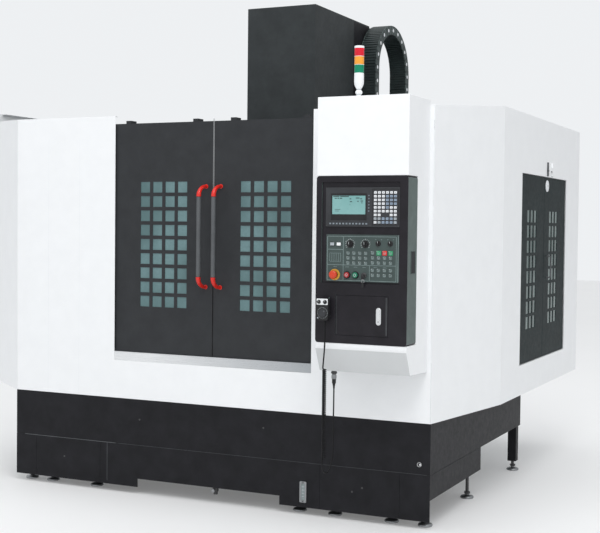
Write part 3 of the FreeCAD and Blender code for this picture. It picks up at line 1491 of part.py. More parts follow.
def build_cord():
    """Cord of the handset: a lead, a curly length and the return to the socket under the pod."""
    x = cord_x()
    y = cord_y()
    thin = size("cord_radius")
    top = size("handset_bottom") - 26
    side = x - size("curl_mean_radius")
    lead = [
        (x, y, top),
        (x + 1, y, top - 47),
        (x + 1, y - 2, top - 100),
        (x - 3, y - 1, top - 155),
        (side, y, CURL_TOP),
    ]
    add_shape("cord_upper", tube_along(lead, thin, 0.45))
    add_shape("cord_curly", curly(x, y, CURL_TOP, CURL_BOTTOM))
    socket_x = cord_x() + 5
    low = CURL_BOTTOM
    back = [
        (side, y, low),
        (side, y + 2, low - 28),
        (side + 2, y + 14, low - 56),
        (side + 5, y + 44, low - 72),
        (side + 9, y + 76, low - 56),
        (side + 12, (y + CONNECTOR_Y) / 2 + 44, low - 14),
        (socket_x - 1, CONNECTOR_Y + 1, low + 44),
        (socket_x, CONNECTOR_Y, low + 110),
        (socket_x - 1, CONNECTOR_Y, low + 200),
        (socket_x, CONNECTOR_Y, low + 290),
        (socket_x, CONNECTOR_Y, size("tray_bottom") - 66),
    ]
    add_shape("cord_return", tube_along(back, thin, 0.45))
    connector = new_body("connector", str(socket_x), str(CONNECTOR_Y), "tray_bottom - 66")
    pad(connector, "XY_Plane", ZERO, "22", regular(ZERO, ZERO, "8", 10))
    pad(connector, "XY_Plane", "22", "26", regular(ZERO, ZERO, "12", 16))
    pad(connector, "XY_Plane", "48", "66 - 48 - 1.5", regular(ZERO, ZERO, "16", 6))


def curly(x, y, top, bottom):
    """One unbroken six-sided tube that winds down round its axis from one side to the same side."""
    wire = size("curl_wire")
    radius = size("curl_mean_radius")
    count = int(size("curl_count"))
    sides = 6
    lead = 2 * wire
    pitch = (top - bottom - 4 * lead) / count
    points = [Vector(x - radius, y, top), Vector(x - radius, y, top - lead)]
    for i in range(count * sides + 1):
        angle = math.pi + 2 * math.pi * i / sides
        points.append(Vector(x + radius * math.cos(angle), y + radius * math.sin(angle),
                             top - 2 * lead - pitch * i / sides))
    points += [Vector(x - radius, y, bottom + lead), Vector(x - radius, y, bottom)]
    path = Part.makePolygon(points)
    rim = [Vector(x - radius + wire * math.cos(a), y + wire * math.sin(a), top)
           for a in [math.pi / 3 * k for k in range(7)]]
    tube = path.makePipeShell([Part.makePolygon(rim)], True, False, 1)
    share = tube.Volume / (1.5 * math.sqrt(3) * wire ** 2 * path.Length)
    print("curly cord: %d curls, pitch %.2f, least gap %.2f, length %.0f, volume share %.4f"
          % (count, pitch, least_gap(points[2:-2], sides, wire), path.Length, share))
    return tube


def least_gap(points, sides, wire):
    """Smallest clear distance between a curl and the next, measured on points along the path."""
    dense = [a + (b - a) * (k / 4) for a, b in zip(points, points[1:]) for k in range(4)]
    window = 4 * sides
    least = 1e9
    for i in range(0, len(dense) - window):
        for j in range(i + window // 2, min(i + window + window // 2, len(dense))):
            least = min(least, dense[i].distanceToPoint(dense[j]))
    return least - 2 * wire


def add_shape(label, shape):
    feature = doc.addObject("Part::Feature", label)
    feature.Label = label
    feature.Shape = shape
    place(feature)
    parts.append(feature)


def build_tower():
    """Signal tower: foot with its neck and a cap as one node, and three lens rings between."""
    frame = new_body("tower_frame", "tower_x", "-tower_y", "pod_top")
    first_lens = "137"
    top = "%s + 3 * lens_height" % first_lens
    stages = [(ZERO, "58", "tower_radius"), ("58", "6", "tower_radius - 8"),
              ("64", "%s - 64" % first_lens, "tower_radius"), (top, "10", "tower_radius")]
    for low, height, radius in stages:
        pad(frame, "XY_Plane", low, height, regular(ZERO, ZERO, radius, 24))
    for index, label in enumerate(("lens_green", "lens_amber", "lens_red")):
        low = "pod_top + %s + %d * lens_height" % (first_lens, index)
        lens = new_body(label, "tower_x", "-tower_y", low)
        pad(lens, "XY_Plane", ZERO, "lens_height", regular(ZERO, ZERO, "tower_radius - 0.5", 24))


# ---------------------------------------------------------------- all parts

def check_all():
    for item in doc.Objects:
        if "Invalid" in item.State or "Error" in item.State:
            raise RuntimeError("failed: %s %s" % (item.Label, item.State))
    for item in parts:
        if item.Shape.isNull() or not item.Shape.isValid() or not item.Shape.Solids:
            raise RuntimeError("bad shape: %s" % item.Label)


build_bed()
build_column()
build_ways()
build_skirt()
build_tank()
build_fittings()
build_feet()
build_pan()
build_front_frame()
build_sill()
build_door_rail()
build_wings()
build_sides()
build_rear()
build_door("left_door", "left")
build_door("right_door", "right")
build_grip("left")
build_grip("right")
build_side_doors()
build_saddle()
build_table()
build_head()
build_head_cover()
build_spindle()
build_chain()
build_magazine()
build_pod()
build_housing()
build_screen_unit()
build_plate()
build_controls()
build_flap()
build_handset()
build_cord()
build_tower()
doc.recompute()
check_all()

os.makedirs("parts", exist_ok=True)
for item in parts:
    item.Shape.exportStep(os.path.join("parts", item.Label + ".step"))
print("%d parts written" % len(parts))
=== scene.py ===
import json
from math import cos, pi, radians, sin

import bmesh
import bpy
from mathutils import Matrix, Vector


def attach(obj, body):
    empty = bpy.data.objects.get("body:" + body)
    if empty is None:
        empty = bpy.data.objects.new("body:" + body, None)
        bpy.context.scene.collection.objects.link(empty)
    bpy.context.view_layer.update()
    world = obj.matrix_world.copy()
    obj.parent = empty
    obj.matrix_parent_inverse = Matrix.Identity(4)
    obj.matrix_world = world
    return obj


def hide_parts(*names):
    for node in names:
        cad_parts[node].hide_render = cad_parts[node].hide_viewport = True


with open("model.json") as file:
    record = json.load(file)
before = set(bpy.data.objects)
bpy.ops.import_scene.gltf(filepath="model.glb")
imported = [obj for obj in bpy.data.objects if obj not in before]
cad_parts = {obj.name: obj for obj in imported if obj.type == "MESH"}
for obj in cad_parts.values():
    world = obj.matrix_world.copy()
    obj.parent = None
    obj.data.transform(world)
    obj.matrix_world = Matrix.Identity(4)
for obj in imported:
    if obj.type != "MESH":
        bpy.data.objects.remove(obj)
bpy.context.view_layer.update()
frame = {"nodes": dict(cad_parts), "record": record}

# Every place and size below is in millimetres from the spindle's centre line,
# the enclosure's front plane and the floor. X runs right, Y back and Z up.
# SHIFT leads to the row frame, whose origin is under the machine's middle.
SHIFT = Vector((129.5, -1234.5, 0))
SMOOTH = radians(50)
ROUNDED = radians(30)


def at(x, y, z):
    return (Vector((x, y, z)) + SHIFT) / 1000


class Box:
    """A CAD node's own extent, to a tenth of a millimetre."""

    def __init__(self, name):
        corners = [v.co * 1000 - SHIFT for v in frame["nodes"][name].data.vertices]
        spans = [(round(min(c), 1), round(max(c), 1)) for c in zip(*corners)]
        (self.left, self.right), (self.front, self.back), (self.bottom, self.top) = spans
        self.x, self.y, self.z = ((low + high) / 2 for low, high in spans)


def places(count, first, pitch):
    return [first + pitch * i for i in range(count)]


def show(name, data):
    thing = bpy.data.objects.new(name, data)
    bpy.context.scene.collection.objects.link(thing)
    return thing


def fill(tree, node, sockets):
    """Each socket takes a value, or a link from another node's output."""
    for key, value in sockets.items():
        if isinstance(value, bpy.types.NodeSocket):
            tree.links.new(value, node.inputs[key])
        else:
            node.inputs[key].default_value = value


def new_node(tree, kind, sockets, **settings):
    node = tree.nodes.new("ShaderNode" + kind)
    for key, value in settings.items():
        setattr(node, key, value)
    fill(tree, node, sockets)
    return node


# ---- camera

YAW, PITCH, ROLL = (radians(angle) for angle in (25.3046, 1.9136, 0.6107))
EYE = (3296.5, -5812, 1570.4)
FOCAL_PIXELS = 1184.94
PHOTO_WIDTH = 600
SENSOR = 36


def make_camera():
    data = bpy.data.cameras.new("camera")
    data.sensor_width = SENSOR
    data.lens = FOCAL_PIXELS * SENSOR / PHOTO_WIDTH
    data.clip_end = 60
    camera = show("camera", data)
    level = Matrix.Rotation(YAW, 4, "Z") @ Matrix.Rotation(pi / 2 - PITCH, 4, "X")
    camera.matrix_world = Matrix.Translation(at(*EYE)) @ level @ Matrix.Rotation(ROLL, 4, "Z")
    bpy.context.scene.camera = camera


# ---- materials

class Nodes:
    """A material's node tree with short helpers."""

    def __init__(self, name, flat=False):
        self.material = bpy.data.materials.new(name)
        self.material.use_nodes = True
        self.tree = self.material.node_tree
        self.shader = [n for n in self.tree.nodes if n.type == "BSDF_PRINCIPLED"][0]
        self.where = self.add("TexCoord", {}).outputs["Object"]
        self.flat = flat

    def add(self, kind, sockets, **settings):
        return new_node(self.tree, kind, sockets, **settings)

    def set(self, **sockets):
        fill(self.tree, self.shader, {key.replace("_", " "): value for key, value in sockets.items()})

    def noise(self, scale, detail=4, rough=0.6, stretch=None):
        where = self.where
        if stretch:
            where = self.add("Mapping", {"Vector": where, "Scale": stretch}).outputs["Vector"]
        sockets = {"Vector": where, "Scale": scale, "Detail": detail, "Roughness": rough}
        return self.add("TexNoise", sockets).outputs["Fac"]

    def ramp(self, source, low, high, a, b):
        sockets = {"Value": source, "From Min": low, "From Max": high, "To Min": a, "To Max": b}
        return self.add("MapRange", sockets).outputs["Result"]

    def mix(self, factor, a, b):
        a, b = ((*c, 1) if isinstance(c, tuple) else c for c in (a, b))
        return self.add("Mix", {"Factor": factor, "A": a, "B": b}, data_type="RGBA").outputs["Result"]

    def bump(self, source, strength, distance):
        sockets = {"Strength": strength, "Distance": distance, "Height": source}
        if self.flat:
            sockets["Normal"] = self.add("NewGeometry", {}).outputs["True Normal"]
        self.set(Normal=self.add("Bump", sockets).outputs["Normal"])


def paint(name, colour, rough, spread=0.08, grain=900, sheen=0.5, depth=0.0002, metal=0, flat=False):
    """Powder coat or moulded plastic: slight tone drift, fine orange peel and uneven gloss."""
    n = Nodes(name, flat)
    low = tuple(c * (1 - spread) for c in colour)
    high = tuple(min(1, c * (1 + spread)) for c in colour)
    n.set(Base_Color=n.mix(n.ramp(n.noise(9, 5, 0.65), 0.35, 0.65, 0, 1), low, high),
          Roughness=n.ramp(n.noise(40, 4), 0.3, 0.7, rough - 0.04, rough + 0.06),
          Metallic=metal, Specular_IOR_Level=sheen)
    n.bump(n.noise(grain, 2, 0.5), 0.35, depth)
    return n.material


def brushed(name, colour, along, rough=0.32, flat=False, painted_reflection_fade=None):
    """Brushed or ground metal, with scratches along one axis; the fade is a span along X and the duller
    colour at its end, a painted reflection that is bright at one end.
    """
    n = Nodes(name, flat)
    stretch = [60, 60, 60]
    stretch["xyz".index(along)] = 1.2
    lines = n.noise(8, 5, 0.7, stretch)
    base = n.mix(n.ramp(lines, 0.3, 0.7, 0, 1), tuple(c * 0.82 for c in colour), colour)
    if painted_reflection_fade:
        place = n.add("SeparateXYZ", {0: n.where}).outputs["X"]
        base = n.mix(n.ramp(place, *painted_reflection_fade[0], 0, 1), base, painted_reflection_fade[1])
    n.set(Base_Color=base, Roughness=n.ramp(lines, 0.3, 0.7, rough - 0.08, rough + 0.12), Metallic=1)
    n.bump(lines, 0.15, 0.0003)
    return n.material


def glass(name, dark, bright, rough=0.12, glow=0, sheen=0.4):
    """Tinted pane: dark machine room behind it, with soft pale streaks of reflected light."""
    n = Nodes(name, True)
    base = n.mix(n.ramp(n.noise(5, 2, 0.4, (1, 1, 0.5)), 0.4, 0.62, 0, 1), dark, bright)
    base = n.mix(n.ramp(n.noise(60, 3, 0.6), 0.35, 0.7, 0, 0.3), base, dark)
    n.set(Base_Color=base, Roughness=rough, Specular_IOR_Level=sheen, Coat_Weight=0.75 * sheen,
          Coat_Roughness=0.05)
    if glow:
        n.set(Emission_Color=base, Emission_Strength=glow)
    n.bump(n.noise(4, 2), 0.05, 0.002)
    return n.material


def lens(name, colour):
    """Moulded lens of the signal tower, slightly lit."""
    n = Nodes(name)
    shade = n.ramp(n.noise(25, 3), 0.3, 0.7, 0, 1)
    n.set(Base_Color=n.mix(shade, tuple(c * 0.8 for c in colour), colour), Roughness=0.32,
          Specular_IOR_Level=0.3, Emission_Color=(*colour, 1), Emission_Strength=0.05, Coat_Weight=0.1)
    n.bump(n.noise(900, 2, 0.5), 0.2, 0.0002)
    return n.material


# Paints and plastics: colour, roughness, tone drift, grain, sheen, grain's depth and metal.
PAINTS = {
    "white": ((0.88, 0.89, 0.9), 0.42, 0.012, 900, 0.5, 0.00015),
    # Darker white for the pod's faces turned down: painted shade.
    "white_painted_shade": ((0.6, 0.615, 0.62), 0.42, 0.012, 900, 0.5, 0.00015),
    "black": ((0.013, 0.013, 0.0155), 0.5, 0.22, 900, 0.16),
    "housing": ((0.015, 0.0135, 0.017), 0.42, 0.2, 900, 0.22),
    # Lighter grey-green for the housing's faces turned right: painted reflection.
    "housing_side_painted_reflection": ((0.085, 0.115, 0.108), 0.42, 0.12, 900, 0.3),
    "cover": ((0.038, 0.043, 0.045), 0.5, 0.12, 900, 0.16),
    "charcoal": ((0.034, 0.036, 0.039), 0.46, 0.1, 900, 0.16),
    "leaf": ((0.014, 0.022, 0.023), 0.5, 0.15, 900, 0.08),
    "cast": ((0.22, 0.27, 0.27), 0.5, 0.08, 160, 0.5, 0.0008),
    "pan": ((0.42, 0.44, 0.45), 0.5),
    "foot": ((0.07, 0.07, 0.072), 0.4, 0.08, 900, 0.5, 0.0002, 0.6),
    "grip": ((0.1, 0.106, 0.112), 0.5, 0.12, 1500, 0.3),
    "red": ((0.68, 0.02, 0.012), 0.28, 0.1),
    "orange": ((0.6, 0.05, 0.012), 0.3, 0.1),
    "yellow": ((0.6, 0.33, 0.04), 0.45, 0.06, 900, 0.3),
    "green": ((0.02, 0.3, 0.12), 0.3, 0.1),
    "button_red": ((0.36, 0.02, 0.022), 0.3, 0.1),
    "button_green": ((0.012, 0.17, 0.095), 0.3, 0.1),
    "plastic": ((0.018, 0.018, 0.019), 0.4, 0.2, 1500, 0.3),
    "bezel": ((0.04, 0.042, 0.046), 0.5, 0.12, 1500, 0.25),
    "plate": ((0.055, 0.078, 0.074), 0.45, 0.1, 1500, 0.3),
    "line": ((0.26, 0.34, 0.335), 0.5, 0.1),
    "tick": ((0.6, 0.64, 0.64), 0.5, 0.05),
    "key": ((0.085, 0.11, 0.106), 0.4, 0.12, 2000),
    "key_white": ((0.78, 0.8, 0.82), 0.4, 0.03, 2000),
    "key_blue": ((0.26, 0.33, 0.42), 0.4, 0.06, 2000),
    "key_grey": ((0.38, 0.42, 0.45), 0.4, 0.06, 2000),
    "soft_key": ((0.16, 0.19, 0.22), 0.4, 0.06, 2000),
    "lamp": ((0.85, 0.87, 0.88), 0.3, 0.03),
    "chain": ((0.022, 0.032, 0.032), 0.45, 0.25, 700, 0.3),
    "chain_side": ((0.06, 0.08, 0.078), 0.5, 0.2, 700, 0.3),
    "rubber": ((0.009, 0.009, 0.01), 0.5, 0.3, 2500, 0.18),
    "ink": ((0.03, 0.06, 0.06), 0.4, 0.1),
}


def make_materials():
    """All materials by key. The flat ones are for surfaces with the CAD's own facets."""
    m = {key: paint("mat_" + key, *values) for key, values in PAINTS.items()}
    for key in ("black", "cast", "pan"):
        m[key + "_cad"] = paint("cad_" + key, *PAINTS[key], flat=True)
    m["ways"] = brushed("ground_ways", (0.6, 0.61, 0.62), "y", flat=True)
    m["table"] = brushed("milled_table", (0.42, 0.43, 0.44), "x", 0.38, flat=True)
    m["spindle"] = brushed("spindle_steel", (0.66, 0.66, 0.67), "z", 0.25)
    # The sill dulls toward its right end: painted reflection.
    m["sill"] = brushed("sill_steel", (0.95, 0.96, 0.97), "x", 0.3, painted_reflection_fade=((-0.3, 0.75), (0.42, 0.44, 0.46)))
    m["steel"] = brushed("dull_steel", (0.36, 0.37, 0.38), "z", 0.4)
    m["alu"] = brushed("cast_aluminium", (0.66, 0.67, 0.68), "z", 0.35)
    m["latch"] = brushed("polished_zinc", (0.86, 0.87, 0.88), "z", 0.28)
    m["pane"] = glass("teal_pane", (0.08, 0.15, 0.155), (0.14, 0.24, 0.25))
    m["side_pane"] = glass("side_pane", (0.05, 0.085, 0.08), (0.16, 0.21, 0.2), sheen=0.15)
    m["lcd"] = glass("display", (0.15, 0.34, 0.33), (0.22, 0.42, 0.41), 0.3, 0.06)
    m["gauge"] = glass("gauge_glass", (0.12, 0.15, 0.15), (0.26, 0.3, 0.3))
    m["lens_red"] = lens("lens_red_mat", (0.72, 0.01, 0.03))
    m["lens_amber"] = lens("lens_amber_mat", (0.9, 0.36, 0.04))
    m["lens_green"] = lens("lens_green_mat", (0, 0.23, 0.12))
    return m


MATERIALS = make_materials()


# ---- mesh building

def body_of_node(name):
    for body, nodes in frame["record"]["behaviour"]["bodies"].items():
        if name in nodes:
            return body


def round_edges(mesh, width):
    edges = [e for e in mesh.edges if len(e.link_faces) == 2 and e.calc_face_angle(0) > ROUNDED]
    bmesh.ops.bevel(mesh, geom=edges, offset=width / 1000, offset_type="OFFSET", segments=2,
                    profile=0.5, affect="EDGES", clamp_overlap=True)


def new_piece(name, mesh, materials, body):
    """Mesh in the scene, smooth apart from its sharp edges."""
    for face in mesh.faces:
        face.smooth = True
    for edge in mesh.edges:
        edge.smooth = len(edge.link_faces) == 2 and edge.calc_face_angle(0) < SMOOTH
    data = bpy.data.meshes.new(name)
    mesh.to_mesh(data)
    mesh.free()
    for material in materials:
        data.materials.append(material)
    piece = show(name, data)
    piece.modifiers.new("weighted", "WEIGHTED_NORMAL").keep_sharp = True
    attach(piece, body)
    return piece


def soften(names, material, width=2, other=None, painted_light_facing=(1, 0, 0), least=0.9):
    """Each node's own surface with rounded edges, and the other look on faces turned the given way: a
    lighter copy is painted light, a darker one painted shade.
    """
    for name in names.split():
        mesh = bmesh.new()
        mesh.from_mesh(frame["nodes"][name].data)
        bmesh.ops.remove_doubles(mesh, verts=mesh.verts, dist=1e-6)
        bmesh.ops.dissolve_limit(mesh, angle_limit=radians(0.5), verts=mesh.verts, edges=mesh.edges)
        round_edges(mesh, width)
        # Faces turned the given way take the other look: a lighter copy is painted light, a darker one
        # painted shade.
        for face in mesh.faces:
            face.material_index = int(bool(other) and face.normal.dot(Vector(painted_light_facing)) > least)
        looks = [MATERIALS[key] for key in (material, other) if key]
        piece = new_piece(name + "_skin", mesh, looks, body_of_node(name))
        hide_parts(name)


def across(pair, along, axis):
    """Point from its two values across an axis, in their order, and its value along it."""
    k = "xyz".index(axis)
    return (*pair[:k], along, *pair[k:])


class Part:
    """Mesh parts in design millimetres that become one piece."""

    def __init__(self):
        self.mesh = bmesh.new()
        self.materials = []

    def add(self, points, faces, material, bevel=0):
        shape = bmesh.new()
        verts = [shape.verts.new(at(*p)) for p in points]
        for face in faces:
            shape.faces.new([verts[i] for i in face])
        bmesh.ops.recalc_face_normals(shape, faces=shape.faces)
        if bevel:
            round_edges(shape, bevel)
        if material not in self.materials:
            self.materials.append(material)
        for face in shape.faces:
            face.material_index = self.materials.index(material)
        store = bpy.data.meshes.new("store")
        shape.to_mesh(store)
        shape.free()
        self.mesh.from_mesh(store)
        bpy.data.meshes.remove(store)

    def prism(self, outline, axis, low, high, material, bevel=0):
        n = len(outline)
        points = [across(pair, along, axis) for along in (low, high) for pair in outline]
        faces = [list(range(n)), list(range(n, 2 * n))]
        faces += [(i, (i + 1) % n, n + (i + 1) % n, n + i) for i in range(n)]
        self.add(points, faces, material, bevel)

    def box(self, x, y, z, material, bevel=0):
        self.prism(rectangle(*x, *z), "y", *y, material, bevel)

    def ring(self, outer, inner, y, material, bevel=0):
        """Frame between two outlines of as many points, across the Y axis."""
        n = len(outer)
        points = [(u, w, v) for w in y for line in (outer, inner) for u, v in line]
        faces = []
        for i in range(n):
            j = (i + 1) % n
            faces += [(i, j, n + j, n + i), (2 * n + i, 2 * n + j, 3 * n + j, 3 * n + i),
                      (i, j, 2 * n + j, 2 * n + i), (n + i, n + j, 3 * n + j, 3 * n + i)]
        self.add(points, faces, material, bevel)

    def tick(self, x, z, turn, inner, outer, half, y):
        """Mark on a dial that faces the front, between two radii."""
        c, s = cos(turn), sin(turn)
        corners = ((inner, half), (inner, -half), (outer, -half), (outer, half))
        self.prism([(x + r * c - w * s, z + r * s + w * c) for r, w in corners], "y", *y, "tick")

    def turned(self, centre, axis, profile, material, sides=32, ribs=0):
        """Revolved profile of (radius, distance along the axis); ribs is the depth of its knurling."""
        middle = Vector(centre)
        points = []
        for radius, along in profile:
            for i in range(sides):
                turn = 2 * pi * i / sides
                r = max(0.02, radius - (ribs if i % 2 else 0))
                pair = (r * cos(turn), r * sin(turn))
                points.append(middle + Vector(across(pair, along, axis)))
        self.tube(points, sides, material)

    def swept(self, points, radii, material, sides=16):
        """Round bar along a line, with its own radius at each point."""
        line = [Vector(p) for p in points]
        rings = []
        side = None
        for i, p in enumerate(line):
            ahead = (line[min(i + 1, len(line) - 1)] - line[max(i - 1, 0)]).normalized()
            if side is None:
                side = ahead.orthogonal().normalized()
            side = (side - ahead * side.dot(ahead)).normalized()
            other = ahead.cross(side)
            for k in range(sides):
                turn = 2 * pi * k / sides
                rings.append(p + (side * cos(turn) + other * sin(turn)) * radii[i])
        self.tube(rings, sides, material)

    def tube(self, points, sides, material):
        """Closed skin over rings of points."""
        last = len(points) - sides
        faces = [list(range(sides)), list(range(last, len(points)))]
        for start in range(0, last, sides):
            for i in range(sides):
                a, b = start + i, start + (i + 1) % sides
                faces.append((a, b, b + sides, a + sides))
        self.add(points, faces, material)

    def piece(self, name, replaces=None, like=None, body=None):
        """Makes the piece, on the body of the CAD node that it replaces or is like."""
        node = replaces or like
        piece = new_piece(name, self.mesh, [MATERIALS[key] for key in self.materials],
                          body or body_of_node(node))
        if replaces:
            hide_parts(replaces)
        return piece


def rectangle(x0, x1, z0, z1):
    return [(x0, z0), (x1, z0), (x1, z1), (x0, z1)]


def stadium(x, z, half_width, half_height, steps=8):
    """Upright slot outline with round ends."""
    straight = half_height - half_width
    ends = []
    for start, middle in ((0, z + straight), (pi, z - straight)):
        for i in range(steps + 1):
            turn = start + pi * i / steps
            ends.append((x + half_width * cos(turn), middle + half_width * sin(turn)))
    return ends


def rounded(x, z, half_width, half_height, corner, steps=4):
    """Rectangle outline with round corners."""
    across, up = half_width - corner, half_height - corner
    outline = []
    for quarter, (dx, dz) in enumerate(((across, up), (-across, up), (-across, -up), (across, -up))):
        for i in range(steps + 1):
            turn = pi / 2 * (quarter + i / steps)
            outline.append((x + dx + corner * cos(turn), z + dz + corner * sin(turn)))
    return outline


def proud(face, height, sunk=0.5):
    """Depth of something that stands out of a face toward the front."""
    return face - height, face + sunk


# ---- cord

CORD_RADIUS = 3.8
LEAD = [(854, -344, 1073), (855, -344, 1026), (855, -346, 973), (851, -345, 918), (846.2, -344, 868)]
RETURN = [(846.2, -344, 380), (846.2, -342, 352), (848.2, -330, 324), (851.2, -300, 308),
          (855.2, -268, 324), (858.2, -244, 366), (858, -231, 424), (859, -232, 490), (858, -232, 580),
          (859, -232, 670), (859, -232, 766)]


def curls(centre=(854, -344), radius=8.1, top=852.8, pitch=9.95, turns=46, steps=12,
          ease=(8, 4.5, 2, 0.5)):
    """Helix whose first and last points run into the straight lengths."""
    points = []
    last = turns * steps
    for i in range(last + 1):
        turn = pi + 2 * pi * i / steps
        z = top - pitch * i / steps
        if i < len(ease):
            z += ease[i]
        if last - i < len(ease):
            z -= ease[last - i]
        points.append((centre[0] + radius * cos(turn), centre[1] + radius * sin(turn), z))
    return points


def make_cord():
    route = LEAD + curls() + RETURN
    data = bpy.data.curves.new("handset_cord", "CURVE")
    data.dimensions = "3D"
    spline = data.splines.new("NURBS")
    spline.points.add(len(route) - 1)
    for point, place in zip(spline.points, route):
        point.co = (*at(*place), 1)
    spline.order_u = 3
    spline.use_endpoint_u = True
    data.bevel_depth = CORD_RADIUS / 1000
    data.bevel_resolution = 3
    data.resolution_u = 4
    data.use_fill_caps = True
    data.materials.append(MATERIALS["rubber"])
    cord = show("handset_cord", data)
    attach(cord, "machine")
    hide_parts("cord_upper", "cord_curly", "cord_return")
    upper = [(3.9, 0), (4.4, 1), (4.9, 8), (4.4, 9), (4.4, 11), (5.5, 12), (5.7, 19), (5, 20), (5, 22),
             (6.4, 23), (6.8, 31), (6, 32), (6, 34), (8.4, 35), (8.9, 40)]
    lower = [(3.9, 0), (4.6, 2), (5.4, 12), (4.8, 13), (4.8, 15), (6.4, 16), (7.2, 27), (9.5, 28), (9.8, 30)]
    fittings = [make_relief("handset_strain_relief", *LEAD[0][:2], LEAD[0][2] - 13, upper),
                make_relief("connector_strain_relief", *RETURN[-1][:2], RETURN[-1][2] - 28, lower),
                make_connector(*RETURN[-1])]


def make_relief(name, x, y, low, ribs):
    relief = Part()
    relief.turned((x, y, low), "z", ribs, "rubber", 24)
    return relief.piece(name, body="machine")


def make_connector(x, y, low):
    plug = Part()
    plug.turned((x, y, low), "z", [(8.5, 0), (10.5, 1.5), (10.5, 21), (12.4, 22), (12.4, 23.5)], "plastic")
    nut = [(11.5, 0), (11.5, 3), (13.6, 4), (13.6, 18), (11.8, 19), (11.8, 24)]
    plug.turned((x, y, low + 23), "z", nut, "steel", 32, 0.5)
    flange = [(10.5, 0), (10.5, 5), (15.6, 6), (15.6, 14), (13, 16), (13, 18.5)]
    plug.turned((x, y, low + 46), "z", flange, "foot")
    return plug.piece("handset_connector", "connector")


# ---- screen and key unit

RECESS = Box("screen_unit").back     # back of the recess that carries the controls
UNIT_FACE = RECESS - 6
KEY_ROWS = ["WWWWWW", "WWWBBB", "WWWBBB", "WWWBBB", "WWWBWW", "WWWWWW", "WW..WW", "GGBBBG", "WGBBBG"]
KEY_LOOKS = {"W": "key_white", "B": "key_blue", "G": "key_grey"}


def make_screen_unit():
    unit, screen = Box("screen_unit"), Box("screen")
    x0, z0 = unit.left, unit.bottom
    part = Part()
    window = rectangle(x0 + 28, x0 + 223, z0 + 33, z0 + 167)
    part.ring(rectangle(x0, unit.right, z0, unit.top), window, (UNIT_FACE, RECESS), "bezel", 1.2)
    part.box((x0 + 26, x0 + 225), (RECESS - 1.5, RECESS), (z0 + 31, z0 + 169), "plastic")
    mask = rectangle(screen.left - 1, screen.right + 1, screen.bottom - 0.5, screen.top + 0.5)
    part.ring(window, mask, (RECESS - 5.2, RECESS - 1), "plastic", 0.8)
    add_soft_keys(part, x0, z0)
    add_key_pad(part, x0 + 263, z0 + 17)
    for x, z in ((5, 5), (395, 5), (5, 193), (395, 193), (246, 5), (246, 193)):
        screw = [(2.6, 0.5), (2.6, -0.6), (1.6, -1.1), (0, -1.1)]
        part.turned((x0 + x, UNIT_FACE, z0 + z), "y", screw, "foot", 12)
    part.piece("screen_and_keys", "screen_unit")


def add_soft_keys(part, x0, z0):
    """The strip under the screen, the row below it and the column beside it."""
    part.box((x0 + 36, x0 + 215), (RECESS - 4.4, RECESS - 2), (z0 + 38, z0 + 57), "soft_key", 0.6)
    for x in places(9, x0 + 40, 19.6):
        part.box((x, x + 14), (RECESS - 4.8, RECESS - 3.5), (z0 + 42, z0 + 53), "key_blue", 0.3)
    for x in places(12, x0 + 21, 17.9):
        part.box((x, x + 11), proud(UNIT_FACE, 2.3), (z0 + 11, z0 + 20), "soft_key", 1)
        part.box((x + 3, x + 8), proud(UNIT_FACE, 2.6, -2), (z0 + 14.5, z0 + 16.5), "key_grey")
    for z in places(6, z0 + 76, 15.5):
        part.box((x0 + 232, x0 + 239), proud(UNIT_FACE, 1.6), (z, z + 6.5), "soft_key", 0.8)


def add_key_pad(part, x0, z0):
    """Edit keys in a thin frame, from the lower left one."""
    part.ring(rectangle(x0 - 9, x0 + 132, z0 - 8, z0 + 173), rectangle(x0 - 6, x0 + 129, z0 - 5, z0 + 170),
              proud(UNIT_FACE, 0.8, 0.3), "plastic", 0.3)
    for r, row in enumerate(KEY_ROWS):
        for c, kind in enumerate(row):
            if kind in KEY_LOOKS:
                x, z = x0 + 21.3 * c, z0 + 18.6 * (8 - r)
                part.box((x, x + 15), proud(UNIT_FACE, 2.5), (z, z + 12), KEY_LOOKS[kind], 1.6)
                part.box((x + 5, x + 10), proud(UNIT_FACE, 2.8, -2.2), (z + 5, z + 7), "bezel")


def make_display():
    screen = Box("screen")
    x0, z0 = screen.left - 0.5, screen.bottom
    lcd = Part()
    lcd.prism(rectangle(x0, screen.right + 0.5, z0, screen.top), "y", RECESS - 4.2, RECESS - 2.5, "lcd", 0.4)
    lines = [(5, 87.5, 34), (43, 87.5, 48), (13, 78.5, 12), (29, 78.5, 8), (41, 78.5, 14), (95, 75.5, 9),
             (129, 79.5, 20), (153, 75.5, 10), (97, 61.5, 12), (137, 63.5, 8), (155, 64.5, 13),
             (159, 55.5, 6)]
    for height, bars in ((4.5, lines), (2, [(95, 47.5, 5), (15, 23.5, 30), (15, 15.5, 22)])):
        for x, z, width in bars:
            lcd.box((x0 + x, x0 + x + width), (RECESS - 4.5, RECESS - 4), (z0 + z, z0 + z + height), "ink")
    lcd.piece("display_glass", "screen")


# ---- operation plate

PLATE_FACE = RECESS - 4
LEFT_KEYS, RIGHT_KEYS = places(4, 962, 32), places(4, 1095, 32)


def seat(name):
    """Where a control's stem starts: the middle of its CAD node, at the back."""
    box = Box(name)
    return box.x, box.back, box.z


def strip(part, x0, x1, z0, z1, wide=1.6):
    """Printed line on the plate."""
    edge = wide / 2
    part.box((x0 - edge, x1 + edge), proud(PLATE_FACE, 0.35, 0.3), (z0 - edge, z1 + edge), "line")


